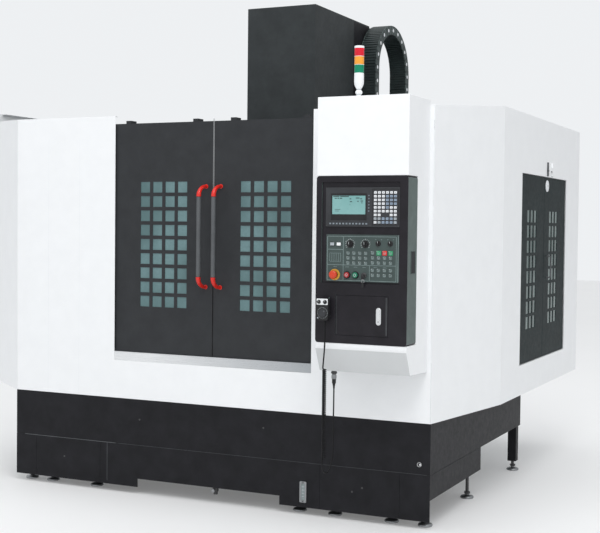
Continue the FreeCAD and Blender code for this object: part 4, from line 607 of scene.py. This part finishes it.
def make_operation_plate():
    plate = Box("operation_plate")
    part = Part()
    part.box((plate.left, plate.right), (PLATE_FACE, RECESS), (plate.bottom, plate.top), "plate", 1.2)
    add_lines(part, plate)
    for x, material in ((plate.left + 34, "key_grey"), (plate.left + 70, "lamp")):
        part.box((x - 12.5, x + 12.5), proud(PLATE_FACE, 2), (1476, 1495), "plastic", 0.8)
        part.box((x - 11, x + 11), (PLATE_FACE - 4, PLATE_FACE), (1478, 1493.5), material, 1.4)
    for name in ("feed_knob", "spindle_knob"):
        add_knob_scale(part, Box(name).x, Box(name).z)
    for x in (1124, 1188):
        add_selector(part, x, 1491)
    add_keys(part)
    for x in (890, 957, 1003, 1049, 1110, 1160):
        strip(part, x - 9, x + 9, 1371, 1371, 1.4)
    add_collars(part)
    add_key_switch(part, 1049, Box("estop_button").z)
    for x, z in ((844, 1301), (1232.5, 1301), (844, 1531), (1232.5, 1531)):
        part.turned((x, PLATE_FACE, z), "y", [(2.4, 0.5), (2.4, -0.5), (1.4, -1), (0, -1)], "foot", 12)
    part.piece("operation_panel", "operation_plate")


def add_lines(part, plate):
    """Lines round the groups of controls, the strip at the right and the mark like a grille."""
    left, split, middle, right = (plate.left + x for x in (7, 95, 238, 380))
    low, shelf, upper, top = (plate.bottom + z for z in (6, 84, 162, 228))
    for edge in ((left, right, top, top), (left, right, low, low), (left, left, low, top),
                 (right, right, low, top), (split, split, low, top), (left, split, upper, upper),
                 (left, right, shelf, shelf), (middle, middle, low, shelf)):
        strip(part, *edge)
    strip(part, plate.right - 6, plate.right - 6, plate.bottom + 3, plate.top - 3, 2.4)
    x0, x1, z0, z1 = left + 13, left + 73, shelf + 17, shelf + 59
    for x in places(6, x0, 12):
        strip(part, x, x, z0, z1, 1)
    for z in (z1, z0):
        strip(part, x0, x1, z, z, 1)


def add_knob_scale(part, x, z):
    collar = [(19, 0.3), (19, -1.2), (16.5, -1.8), (0, -1.8)]
    part.turned((x, PLATE_FACE, z), "y", collar, "plastic")
    for i in range(13):
        outer = 25.5 if i % 3 else 27.5
        part.tick(x, z, radians(-40 + 260 * i / 12), 21.5, outer, 0.9, proud(PLATE_FACE, 0.4, 0.3))


def add_selector(part, x, z):
    y = PLATE_FACE
    collar = [(14, 0.3), (14, -2), (11.5, -3), (11.5, -6), (0, -6)]
    part.turned((x, y, z), "y", collar, "plastic", 28)
    part.box((x - 3.4, x + 3.4), (y - 12, y - 5), (z - 12, z + 12), "plastic", 1.2)
    part.box((x - 0.8, x + 0.8), (y - 12.4, y - 11), (z + 2, z + 11), "tick")
    for mark in (x - 15, x + 15):
        strip(part, mark, mark + 3, z + 20, z + 20, 2)


def add_key(part, x, z, size=18, material="key"):
    """Key with a lamp in its corner and a plain mark in a ring."""
    half, top = size / 2, PLATE_FACE - 2.2
    part.box((x - half, x + half), proud(PLATE_FACE, 2.5), (z - half, z + half), material, 1.4)
    part.turned((x - half + 3, top - 0.2, z + half - 3), "y", [(1.2, 0), (1.2, -0.6), (0, -0.8)], "lamp", 8)
    part.turned((x, top, z), "y", [(7.6, 0), (7.6, -0.6), (6.2, -0.6), (6.2, 0)], "line", 20)
    part.box((x - 4, x + 4), (top - 0.6, top), (z - 2.6, z - 0.8), "line")
    part.box((x - 0.9, x + 0.9), (top - 0.6, top), (z - 5, z + 2.5), "line")


def add_keys(part):
    """The right block has three large coloured keys in its first row, and two more rows."""
    for row, z in enumerate((1441, 1416, 1391)):
        for left, right, colour in zip(LEFT_KEYS, RIGHT_KEYS, ("", "green", "red", "green")):
            add_key(part, left, z)
            if colour and row == 0:
                add_key(part, right, z + 3, 23, colour)
            else:
                add_key(part, right, z + 3)
    for z in (1357, 1332):
        for x in RIGHT_KEYS:
            add_key(part, x, z)


def add_collars(part):
    """Yellow disc and guard of the emergency stop, and the rings of the two push buttons."""
    stop = Box("estop_button")
    centre = (stop.x, PLATE_FACE, stop.z)
    part.turned(centre, "y", [(28.5, 0.3), (28.5, -1.6), (27, -2.4), (12, -2.4)], "yellow", 40)
    part.turned(centre, "y", [(18, 0), (18, -6), (16.5, -7.5), (7, -7.5)], "plastic")
    ring = [(18.5, 0.3), (18.5, -3), (16.8, -5.5), (15.2, -5.5), (15.2, -2)]
    for name in ("red_button", "green_button"):
        part.turned((Box(name).x, PLATE_FACE, Box(name).z), "y", ring, "plastic")


def add_key_switch(part, x, z):
    """Lock with its key in it, and a second key on the key ring."""
    y = PLATE_FACE
    part.turned((x, y, z), "y", [(14, 0.3), (14, -3), (11, -5), (0, -5)], "foot", 28)
    part.box((x - 1.4, x + 1.4), (y - 19, y - 4), (z - 5, z + 5), "foot", 0.6)
    part.prism(stadium(x, z - 9, 9, 15), "y", y - 18.5, y - 14.5, "plastic", 1.4)
    turns = places(21, 0, pi / 10)
    part.swept([(x + 8 * sin(a), y - 16.5 - 1.5 * cos(a), z - 29 + 8 * cos(a))
                for a in turns], [0.9] * len(turns), "alu", 8)
    part.prism(stadium(x, z - 48, 6, 13), "y", y - 18, y - 16.4, "plastic", 0.6)


# ---- controls

STEM = 3.4     # radius of the stems in the housing's holes


def make_emergency_stop():
    stop = Part()
    mushroom = [(STEM, 0), (STEM, -8), (14, -8.5), (14, -17), (18.5, -19), (21.6, -22), (22, -26), (21, -31),
                (17.5, -35), (11, -37.2), (0, -37.7)]
    stop.turned(seat("estop_button"), "y", mushroom, "orange", 40)
    mark = [(9.5, -36.9), (9.5, -37.6), (7.6, -37.65), (7.6, -36.8)]
    stop.turned(seat("estop_button"), "y", mark, "red")
    stop.piece("emergency_stop", "estop_button")


def make_push_button(name, material):
    button = Part()
    cap = [(STEM, 0), (STEM, -7), (14, -7.5), (14, -14.2), (12.6, -15.8), (9, -16.5), (0, -16.7)]
    button.turned(seat(name), "y", cap, material, 36)
    mark = [(6.5, -16.2), (6.5, -16.7), (5.2, -16.7), (5.2, -16.2)]
    button.turned(seat(name), "y", mark, "key_white", 24)
    button.piece(name + "_cap", name)


def make_knob(name):
    x, y, z = seat(name)
    knob = Part()
    cap = [(STEM, 0), (STEM, -3.9), (14.2, -4.3), (14.4, -6), (12.8, -13), (12.2, -14.5), (0, -14.8)]
    knob.turned((x, y, z), "y", cap, "plastic", 48, 0.5)
    front = Box(name).front
    pointer = [(x - 4, z - 13), (x + 4, z - 13), (x + 4, z + 10), (x, z + 13), (x - 4, z + 10)]
    knob.prism(pointer, "y", front, front + 10, "plastic", 1)
    knob.box((x - 0.8, x + 0.8), proud(front, 0.3), (z - 1, z + 11), "tick")
    knob.piece(name + "_cap", name)


# ---- housing

def make_housing():
    # The housing's faces turned right take a lighter grey-green copy of its paint: painted reflection.
    soften("panel_housing", "housing", 5, "housing_side_painted_reflection")
    side = Box("panel_housing").right
    y0, y1, z0, z1 = -264, -200, 1341, 1457
    vent = Part()
    vent.prism(rectangle(y0 + 2, y1 - 2, z0 + 2, z1 - 2), "x", side - 0.4, side + 0.4, "plastic")
    # The vent's frame takes the same lighter side paint: painted reflection.
    for edge in ((y0, y0 + 3, z0, z1), (y1 - 3, y1, z0, z1), (y0 + 3, y1 - 3, z0, z0 + 3),
                 (y0 + 3, y1 - 3, z1 - 3, z1)):
        vent.prism(rectangle(*edge), "x", side - 0.5, side + 2, "housing_side_painted_reflection", 0.5)
    for y in places(6, y0 + 9.5, 9):
        vent.prism(rectangle(y - 1.5, y + 1.5, z0 + 3, z1 - 3), "x", side - 0.2, side + 1.4, "bezel", 0.4)
    vent.piece("housing_vent", like="panel_housing")


def make_flap():
    soften("flap", "housing", 2)
    flap = Box("flap")
    trim = Part()
    z0, z1 = flap.bottom + 11.5, flap.top - 10.5
    trim.box((flap.right - 13, flap.right - 7), proud(flap.front, 1), (z0, z1), "bezel", 0.6)
    trim.box((flap.right - 6, flap.right - 4.2), proud(flap.front, 1.4), (z0, z1), "grip", 0.4)
    trim.box((flap.left + 4, flap.left + 7), proud(flap.front, 1), (z0 - 2, z1 + 2), "bezel", 0.5)
    trim.piece("flap_trim", like="flap")


def make_flap_latch():
    x, y, z = seat("flap_latch")
    latch = Part()
    latch.prism(stadium(x, z, 13.5, 44), "y", y - 10.2, y - 7.8, "latch", 1)
    latch.prism(stadium(x, z + 2, 9, 36), "y", y - 11.6, y - 10, "latch", 0.8)
    latch.turned((x, y - 11.6, z - 27), "y", [(5, 0.5), (5, -0.3), (4, -0.6), (0, -0.6)], "alu", 20)
    latch.box((x - 0.8, x + 0.8), (y - 12.5, y - 11.6), (z - 30.5, z - 23.5), "plastic")
    latch.turned((x, y, z), "y", [(5, -8), (5, 0), (0, 0)], "alu", 20)
    latch.piece("flap_turn_latch", "flap_latch")


def make_handset():
    unit = Part()
    box, dial = Box("handset"), Box("handset_dial")
    x0, z0 = box.left, box.top - 111
    front = box.back - 30
    corners = ((10, 0), (54, 0), (61, 5), (64, 15), (64, 107), (60, 111), (4, 111), (0, 107), (0, 15),
               (3, 5))
    unit.prism([(x0 + x, z0 + z) for x, z in corners], "y", front, box.back, "plastic", 3)
    unit.box((x0 + 1.5, x0 + 62.5), proud(front, 1.2, 2), (z0 + 79, z0 + 110), "lamp", 1.2)
    selector = [(10.5, 0), (10.5, -3), (8.6, -4), (8.2, -10.4), (7, -11.4), (0, -11.6)]
    for x in (x0 + 15, x0 + 49):
        unit.turned((x, front, z0 + 94), "y", selector, "plastic", 32, 0.4)
        unit.box((x - 0.6, x + 0.6), (front - 11.9, front - 11.2), (z0 + 95, z0 + 101), "tick")
    scale = [(29, 0.5), (29, -1.2), (27.5, -1.8), (20, -1.8)]
    unit.turned((dial.x, front, dial.z), "y", scale, "bezel", 48)
    for i in range(50):
        inner = 26.2 if i % 5 else 24.5
        unit.tick(dial.x, dial.z, 2 * pi * i / 50, inner, 28.4, 0.35, (front - 2, front - 1.4))
    unit.box((x0 + 5, x0 + 12), proud(front, 1, 1), (z0 + 9, z0 + 16), "key_grey", 0.8)
    unit.piece("hand_pulse_unit", "handset")


def make_dial():
    x, y, z = seat("handset_dial")
    dial = Part()
    wheel = [(STEM, 0), (STEM, -7.2), (23.4, -9.4), (24, -11), (24, -14), (22.4, -16), (18, -17),
             (17, -16.2), (6, -15.6), (5.4, -16.6), (0, -16.8)]
    dial.turned((x, y, z), "y", wheel, "plastic", 60, 0.5)
    dial.turned((x, y, z), "y", [(21.8, -16.3), (21.4, -17.1), (18.6, -17.5), (18.2, -16.8)], "bezel", 48)
    crank = [(4.2, -15), (4.2, -17.6), (3.2, -18.8), (0, -18.9)]
    dial.turned((x + 11, y, z + 9), "y", crank, "grip", 20)
    dial.piece("hand_wheel", "handset_dial")


# ---- doors

DOOR_FACE = Box("left_door").front
ARM_RISE = 53       # from a grip's end to the middle of its foot
ARM_REACH = 80      # from a grip's middle to the door


def make_grip(side):
    bar = Box(side + "_grip")
    centre = (bar.x, bar.y, bar.bottom)
    grip = Part()
    grip.turned(centre, "z", [(10, 0), (12.4, 1.5), (12.4, 460), (10, 462)], "grip", 28)
    grip.turned(centre, "z", [(12.9, 5), (12.9, 8), (12.5, 8.2)], "plastic", 28)
    grip.turned(centre, "z", [(12.5, 453.5), (12.9, 454), (12.9, 457)], "plastic", 28)
    grip.piece(side + "_grip_bar", side + "_grip")
    arms = Part()
    for z, way in ((bar.top, 1), (bar.bottom, -1)):
        add_arm(arms, bar.x, bar.y, z, way)
    arms.piece(side + "_grip_arms", side + "_brackets")


def add_arm(part, x, y, z, way, steps=14):
    """Bent arm that gets thinner, from the grip's end to a round foot on the door."""
    end = z + way * ARM_RISE
    points = [(x, y, z - way * 6)]
    radii = [13.3]
    for i in range(steps + 1):
        turn = pi / 2 * i / steps
        points.append((x, y + ARM_REACH * (1 - cos(turn)), z + way * ARM_RISE * sin(turn)))
        radii.append(13.3 - 4.3 * i / steps)
    part.swept(points + [(x, DOOR_FACE - 0.4, end)], radii + [9.4], "red", 20)
    part.turned((x, DOOR_FACE - 0.1, end), "y", [(12.5, 0), (12.5, -1.6), (10, -3.2)], "red", 24)


def make_door_edge(side, sign):
    """Bright strip down to the grip's top, and a dark one below it."""
    edge = Part()
    x = sorted((1.6 * sign, 3.6 * sign))
    depth = proud(DOOR_FACE, 1.1, 1)
    edge.box(x, depth, (1740, 2174), "alu", 0.5)
    edge.box(x, depth, (834, 1740), "plastic", 0.5)
    edge.piece(side + "_door_edge", like=side + "_grip")


def make_gasket(side, sign):
    """Rubber frame on the back of a window's pane."""
    pane = Box(side + "_window")
    x0, x1 = sorted((158.2 * sign, 497.8 * sign))
    z0, z1 = pane.bottom, pane.top
    gasket = Part()
    for edge in ((x0 - 3, x0 + 5, z0, z1), (x1 - 5, x1 + 3, z0, z1), (x0, x1, z0 - 3, z0 + 5),
                 (x0, x1, z1 - 5, z1 + 3)):
        gasket.box(edge[:2], (pane.back, pane.back + 3), edge[2:], "rubber", 0.8)
    gasket.piece(side + "_window_gasket", like=side + "_grip")


def make_doors():
    soften("left_door right_door", "charcoal", 1.6)
    soften("left_window right_window", "pane", 0.5)
    for side, sign in (("left", -1), ("right", 1)):
        make_grip(side)
        make_door_edge(side, sign)
        make_gasket(side, sign)


def make_side_doors():
    soften("side_leaf_front side_leaf_rear", "leaf", 1.5)
    handle = Part()
    face, y, z0 = Box("side_leaf_rear").right, 1930, Box("side_handle").bottom
    z1 = z0 + 157
    bend = ((0, 8), (17, 8), (24, 11), (28, 20))
    line = [(face + x, y, z0 + z) for x, z in bend] + [(face + x, y, z1 - z) for x, z in reversed(bend)]
    handle.swept(line, [4.5] * len(line), "grip", 16)
    disc = ((0.2, 48, "key_white", [(38, 0), (38, 3.4), (36.4, 4.8), (0, 5)]),
            (5, 40, "key_white", [(27, 0), (27, 1.2), (25.6, 2), (0, 2)]),
            (7, 20, "steel", [(6, 0), (6, 0.6), (0, 0.7)]))
    for x, sides, material, profile in disc:
        handle.turned((face + x, 1908, 1855), "x", profile, material, sides)
    handle.piece("side_door_handle", "side_handle")


def make_hasp():
    """Bracket above the split of the side doors."""
    hasp = Part()
    for y in (1871, 1986):
        hasp.prism(rectangle(y, y + 7, 1917, 2008), "x", 1438, 1449, "grip", 1)
    hasp.prism(rectangle(1871, 1993, 1949, 1959), "x", 1438, 1446, "grip", 1)
    hasp.piece("side_door_hasp", like="side_handle", body="machine")


# ---- tower

LENS_HEIGHT = 43
LENS_LOW = 134      # of the lowest lens, from the tower's foot
LENS_RIDGES = 9


def make_tower():
    tower = Box("tower_frame")
    place = (tower.x, tower.y, tower.bottom)
    post = Part()
    neck = [(15, 0), (18, 3), (19, 10), (17, 16), (12, 20), (12, 24), (16, 28), (18.5, 34), (17, 41),
            (12, 47), (11.5, 52), (15, 57), (20, 65), (24, 77), (25.2, 88), (25.2, 132), (24.5, LENS_LOW)]
    post.turned(place, "z", neck, "lamp", 40)
    post.turned(place, "z", [(11, 48), (12.8, 49), (12.8, 51.5), (11, 52.5)], "key_grey", 28)
    post.turned(place, "z", [(11, 20.5), (13, 21.2), (13, 23), (11, 23.8)], "key_grey", 28)
    post.turned(place, "z", [(25.2, 263), (25.2, 270), (24, 272.5), (0, 273)], "lamp", 40)
    post.piece("tower_post", "tower_frame")
    for index, colour in enumerate(("green", "amber", "red")):
        make_lens(place, LENS_LOW + LENS_HEIGHT * index, colour)


def make_lens(place, low, colour):
    """Lens with fine ridges, and the white ring above it."""
    ring = Part()
    profile = [(24, low), (24.8, low + 1)]
    for middle in places(LENS_RIDGES, low + 4, 4):
        profile += [(24.8, middle - 1.2), (24.5, middle), (24.8, middle + 1.2)]
    profile += [(24.8, low + 41), (24, low + 41.5)]
    ring.turned(place, "z", profile, "lens_" + colour, 40)
    high = low + LENS_HEIGHT
    ring.turned(place, "z", [(24.2, high - 2.2), (25.3, high - 2), (25.3, high), (24, high)], "lamp", 40)
    ring.piece("tower_lens_" + colour, "lens_" + colour)


# ---- chain

CHAIN = Box("cable_chain")
CHAIN_Y, CHAIN_Z, CHAIN_R, CHAIN_PITCH = CHAIN.y, 2640, 284, 89.22
LEG_LINKS = 7       # in the straight length at the front
LINKS = 24
PLATE = 6.5         # from the chain's sides to the inner faces of its side plates


def chain_point(s):
    """Point, direction and outward normal of the chain's centre line, s links from its front end."""
    along = min(s, LINKS - 0.01) * CHAIN_PITCH
    leg = LEG_LINKS * CHAIN_PITCH
    if along <= leg:
        return Vector((0, CHAIN_Y - CHAIN_R, CHAIN_Z - leg + along)), Vector((0, 0, 1)), Vector((0, -1, 0))
    turn = (along - leg) / CHAIN_R
    if turn <= pi:
        out = Vector((0, -cos(turn), sin(turn)))
        ahead = Vector((0, sin(turn), cos(turn)))
        return Vector((0, CHAIN_Y, CHAIN_Z)) + out * CHAIN_R, ahead, out
    down = along - leg - pi * CHAIN_R
    return Vector((0, CHAIN_Y + CHAIN_R, CHAIN_Z - down)), Vector((0, 0, -1)), Vector((0, 1, 0))


def add_bar(part, s, length, x, r, material, bevel=0):
    """Block across the chain at s: length along it, and its spans in X and outward."""
    middle, ahead, out = chain_point(s)
    points = [Vector((xx, 0, 0)) + middle + ahead * a + out * rr
              for a in (-length / 2, length / 2) for xx in x for rr in r]
    faces = [(0, 1, 3, 2), (4, 5, 7, 6), (0, 1, 5, 4), (2, 3, 7, 6), (0, 2, 6, 4), (1, 3, 7, 5)]
    part.add(points, faces, material, bevel)


def make_chain():
    part = Part()
    x0, x1 = CHAIN.left, CHAIN.right
    for s in places(LINKS * 4, 1 / 8, 1 / 4):
        for r in ((20, 24), (-24, -20)):
            add_bar(part, s, 25, (x0 + 6, x1 - 6), r, "chain")
    for link in range(LINKS):
        for s in places(5, link + 1 / 10, 1 / 5):
            add_bar(part, s, 14.5, (x0 + 7, x1 - 7), (25, 30.5), "chain", 1)
            add_bar(part, s, 11, (x0 + 9, x1 - 9), (-30, -25), "chain", 1)
        for k, s in enumerate(places(6, link + 1 / 12, 1 / 6)):
            for x in ((x0 + 0.5, x0 + PLATE), (x1 - PLATE, x1 - 0.5)):
                add_bar(part, s, 15.6, x, (-30, 30), "chain_side" if k % 3 else "chain", 0.6)
    for link in range(LINKS + 1):
        middle = chain_point(link)[0]
        for x, way in ((x0, -1), (x1, 1)):
            pin = [(12, -1.5 * way), (12, -0.4 * way), (10, 0), (0, 0)]
            part.turned(middle + Vector((x, 0, 0)), "x", pin, "key_white", 16)
    for k, x in enumerate((268, 290, 314, 336)):
        add_hose(part, x, 3 - 4 * (k % 2), 8.5 - k % 2)
    part.piece("chain_links", "cable_chain")


def add_hose(part, x, off, radius):
    """Hose through all links, off the centre line."""
    points = []
    for s in places(LINKS * 4 + 1, 0, 1 / 4):
        middle, _, out = chain_point(s)
        points.append(middle + Vector((x, 0, 0)) + out * off)
    part.swept(points, [radius] * len(points), "rubber", 10)


# ---- base

BASE = Box("base_skirt")


def make_feet():
    """Jack feet under the tank, the bed and the two rear legs, with the screws up to them."""
    left, right = BASE.left, BASE.right
    front = [left + x for x in (53, 211, 534)] + [right - x for x in (784, 571, 241, 53)]
    tank = [(x, 88) for x in front] + [(x, 822) for x in (front[0], front[-1])]
    bed = [(x, y) for x in (-420, 420) for y in (520, 2470)]
    legs = [(right - 31.5, 1742.5), (left + 31.5, 1742.5)]
    pad = [(35, 0), (39, 3), (39, 9), (35, 14), (24, 18), (14, 20), (11, 22), (11, 30)]
    nut = [(16, 26), (18, 27), (18, 38), (16, 39)]
    feet = Part()
    for centres, top in ((tank, Box("levelling_feet").top), (bed, Box("bed").bottom), (legs, BASE.bottom)):
        for x, y in centres:
            feet.turned((x, y, 0), "z", pad, "steel")
            feet.turned((x, y, 0), "z", nut, "foot", 6)
            feet.turned((x, y, 0), "z", [(9.5, 30), (9.5, top)], "foot", 16)
    feet.piece("jack_feet", "levelling_feet")


def make_fittings():
    """Coolant gauge with its marks and screws, and the drain valve."""
    part = Part()
    x, z = 582.5, 127
    glass_edge = rounded(x, z, 11.5, 46, 3)
    part.ring(rounded(x, z, 20.5, 58, 6), glass_edge, (-6, 0), "steel", 1.2)
    part.prism(rounded(x, z, 12, 46.5, 3), "y", -3, 0, "gauge", 0.5)
    for end in (z - 51, z + 51):
        part.turned((x, -5.5, end), "y", [(5.5, 1), (5.5, -0.2), (4, -0.5), (0, -0.5)], "latch", 6)
    for mark in places(4, z - 27, 18):
        part.box((x - 7.5, x + 7.5), (-4, -2.6), (mark, mark + 3.5), "key_grey", 0.4)
    valve = [(11, 0), (12.5, 2), (12.5, 16), (17, 18), (17, 40), (11, 42), (11, 109)]
    part.turned((14, 40, 46), "z", valve, "foot")
    part.turned((14, 23, 72), "y", [(7, 0), (7, -8), (11, -9), (11, -16), (9, -18)], "steel", 24)
    part.piece("gauge_and_drain", "tank_fittings")


def make_base_trim():
    """Grommet with a ring and a painted highlight, screws, and the joints between the skirt and the tank's
    plates.
    """
    trim = Part()
    x, z = 1248, 340
    turns = places(25, 0, pi / 12)
    ring = [(x + 11 * cos(a), -1.6, z + 11 * sin(a)) for a in turns]
    trim.swept(ring, [1.6] * len(ring), "alu", 8)
    trim.turned((x, 0.2, z), "y", [(15, 0), (15, -0.8), (13, -1.2)], "plastic", 28)
    # Small bright disc right of the grommet's middle: painted highlight.
    trim.turned((x + 4, -0.8, z), "y", [(5, 0), (5, -1.2), (4, -1.8), (0, -2)], "latch", 20)
    for x, z in ((-474, 439), (-1007, 176), (870, 158), (928, 184), (335, 457)):
        trim.turned((x, 0, z), "y", [(5.5, 0.5), (5.5, -0.6), (3.5, -1.6), (0, -1.8)], "foot", 14)
    joint = (286.5, 289.5)
    trim.box((-1300, -640), proud(0, 1.2, 0.2), joint, "grip", 0.4)
    trim.box((-620, 1290), proud(0, 1.2, 0.2), joint, "bezel", 0.4)
    trim.box((-702, -696), proud(0, 0.8, 0.2), (62, 286), "bezel", 0.3)
    trim.piece("base_trim", like="base_skirt")


# ---- enclosure

PANEL_LOW = 560     # lower end of the joints between panels


def make_cover():
    """The head's cover, and a thin plate that leads from its tail to the cable chain, in darker black than
    the cover: painted shade for the shadowed area there.
    """
    soften("head_cover", "cover", 3)
    tail = [(1640, 2010), (1640, 2640), (1665, 2760), (1712, 2870), (1752, 2929)]
    fairing = Part()
    # Plate in the darker black paint: partly the form behind the tail, partly painted shade.
    fairing.prism([(1458, 2010)] + tail + [(1458, 2929)], "x", 232, 235, "black", 0.8)
    fairing.piece("cover_plate_painted_shade", like="head_cover")


def make_seams():
    """Panel joints in the front and on the left side, with screws beside the second."""
    seams = Part()
    for x in (-1130, -905):
        seams.box((x - 0.6, x + 0.6), (-0.3, 0.3), (PANEL_LOW, 2080), "key_white")
    side = Box("left_side")
    for y in (1120, 1980):
        seams.box((side.left - 0.3, side.left + 0.3), (y - 1, y + 1), (PANEL_LOW, side.top - 4), "key_grey")
        for z in places(5, PANEL_LOW + 80, 390):
            for centre in (y - 18, y + 18):
                screw = [(5, 0), (5, -0.5), (4, -0.6), (0, -0.6)]
                seams.turned((side.left + 0.3, centre, z), "x", screw, "key_grey", 14)
    seams.piece("panel_seams", like="front_frame")


def make_rear_hatch():
    """Joint and quarter-turn locks of the hatch, two fields of louvres and their handles."""
    back = Box("rear_panel").back
    wide, tall = (-620, 620), (740, 1851)
    hatch = Part()
    for x, z in ((wide, (736, 740)), (wide, (1851, 1855)), ((-620, -616), tall), ((616, 620), tall)):
        hatch.box(x, (back - 2, back - 0.1), z, "bezel", 0.3)
    for x in (-590, 0, 590):
        for z in places(3, 770, 525):
            hatch.turned((x, back - 2, z), "y", [(15, 0), (15, 1.5), (13.5, 1.9), (0, 1.9)], "steel", 28)
            hatch.box((x - 9, x + 9), (back - 0.15, back), (z - 1.2, z + 1.2), "plastic")
    for x in (-330, 330):
        for z in places(14, 900, 24):
            hatch.box((x - 150, x + 150), (back - 2, back - 0.3), (z, z + 7), "bezel", 0.5)
        for side in (-55, 55):
            foot = [(9, 0), (9, 1.4), (7, 1.9), (0, 1.9)]
            hatch.turned((x + side, back - 2, 1600), "y", foot, "plastic", 20)
        hatch.box((x - 52, x + 52), (back - 2, back - 0.2), (1594, 1606), "plastic", 0.6)
    hatch.piece("rear_hatch_trim", like="rear_panel")


def make_enclosure():
    soften("front_frame left_wing right_wing left_side right_side rear_panel", "white", 2.5)
    # The pod's faces turned down take a darker white: painted shade.
    soften("pod_body", "white", 2.5, "white_painted_shade", (0, 0, -1), 0.3)
    make_cover()
    soften("door_sill", "sill", 1.2)
    soften("door_rail", "black", 1)
    make_seams()
    make_rear_hatch()


def dress_inside():
    """Plain looks for what is seen little, on the CAD surfaces themselves."""
    for material, names in (("cast_cad", "bed column saddle head"), ("ways", "fixed_ways"),
                            ("pan_cad", "base_pan magazine_beam carousel_slide"), ("table", "table"),
                            ("side_pane", "side_glass_front side_glass_rear"), ("spindle", "spindle"),
                            ("alu", "tool_carousel")):
        for name in names.split():
            looks = frame["nodes"][name].data.materials
            looks.clear()
            looks.append(MATERIALS[material])


# ---- stage

FLOOR_HALF = 30     # metres, as are the lights' places and sizes
WORLD_LEVEL = 0.92
# Sides of the studio that are darker: direction, where the fall starts and ends, and its level.
DARKER = (((0.8, 0.6, 0), 0.46, 0.85, 0.52), ((-0.95, -0.3, 0), 0.5, 1, 0.75))
# Name, place, target, size and power of each soft box.
LIGHTS = (("key", (3, -5, 7), (0.2, -0.5, 1), 4, 195), ("top", (0, 0, 8.5), (0, 0, 0), 8, 120))


def make_floor():
    n = Nodes("pale_floor")
    n.set(Base_Color=n.mix(n.noise(0.6, 2), (0.72, 0.72, 0.72), (0.75, 0.75, 0.75)), Roughness=0.8,
          Emission_Color=(1, 1, 1, 1), Emission_Strength=0.16)
    corners = [(*corner, 0) for corner in rectangle(-FLOOR_HALF, FLOOR_HALF, -FLOOR_HALF, FLOOR_HALF)]
    mesh = bpy.data.meshes.new("floor")
    mesh.from_pydata(corners, [], [(0, 1, 2, 3)])
    mesh.materials.append(n.material)
    show("floor", mesh)


def make_world():
    """Pale studio, darker toward two sides to give dark and glossy faces some shape."""
    world = bpy.data.worlds.new("studio")
    world.use_nodes = True
    tree = world.node_tree
    background = [x for x in tree.nodes if x.type == "BACKGROUND"][0]
    toward = new_node(tree, "TexCoord", {}).outputs["Generated"]
    levels = {}
    for index, (direction, start, end, least) in enumerate(DARKER):
        lobe = new_node(tree, "VectorMath", {0: toward, 1: direction}, operation="DOT_PRODUCT")
        sockets = {"Value": lobe.outputs["Value"], "From Min": start, "From Max": end,
                   "To Min": WORLD_LEVEL, "To Max": least}
        levels[index] = new_node(tree, "MapRange", sockets).outputs["Result"]
    darker = new_node(tree, "Math", levels, operation="MINIMUM")
    fill(tree, background, {"Color": (0.93, 0.95, 0.97, 1), "Strength": darker.outputs[0]})
    bpy.context.scene.world = world


def make_lights():
    for name, place, target, size, power in LIGHTS:
        data = bpy.data.lights.new(name, "AREA")
        data.size = size
        data.energy = power
        light = show(name, data)
        light.location = place
        light.rotation_euler = (Vector(target) - Vector(place)).to_track_quat("-Z", "Y").to_euler()


bpy.context.scene.view_settings.view_transform = "Standard"
make_camera()
make_cord()
make_screen_unit()
make_display()
make_operation_plate()
make_emergency_stop()
make_push_button("red_button", "button_red")
make_push_button("green_button", "button_green")
make_knob("feed_knob")
make_knob("spindle_knob")
make_housing()
make_flap()
make_flap_latch()
make_handset()
make_dial()
make_doors()
make_side_doors()
make_hasp()
make_tower()
make_chain()
soften("base_skirt coolant_tank", "black_cad", 1.5)
make_feet()
make_fittings()
make_base_trim()
make_enclosure()
dress_inside()
make_floor()
make_world()
make_lights()
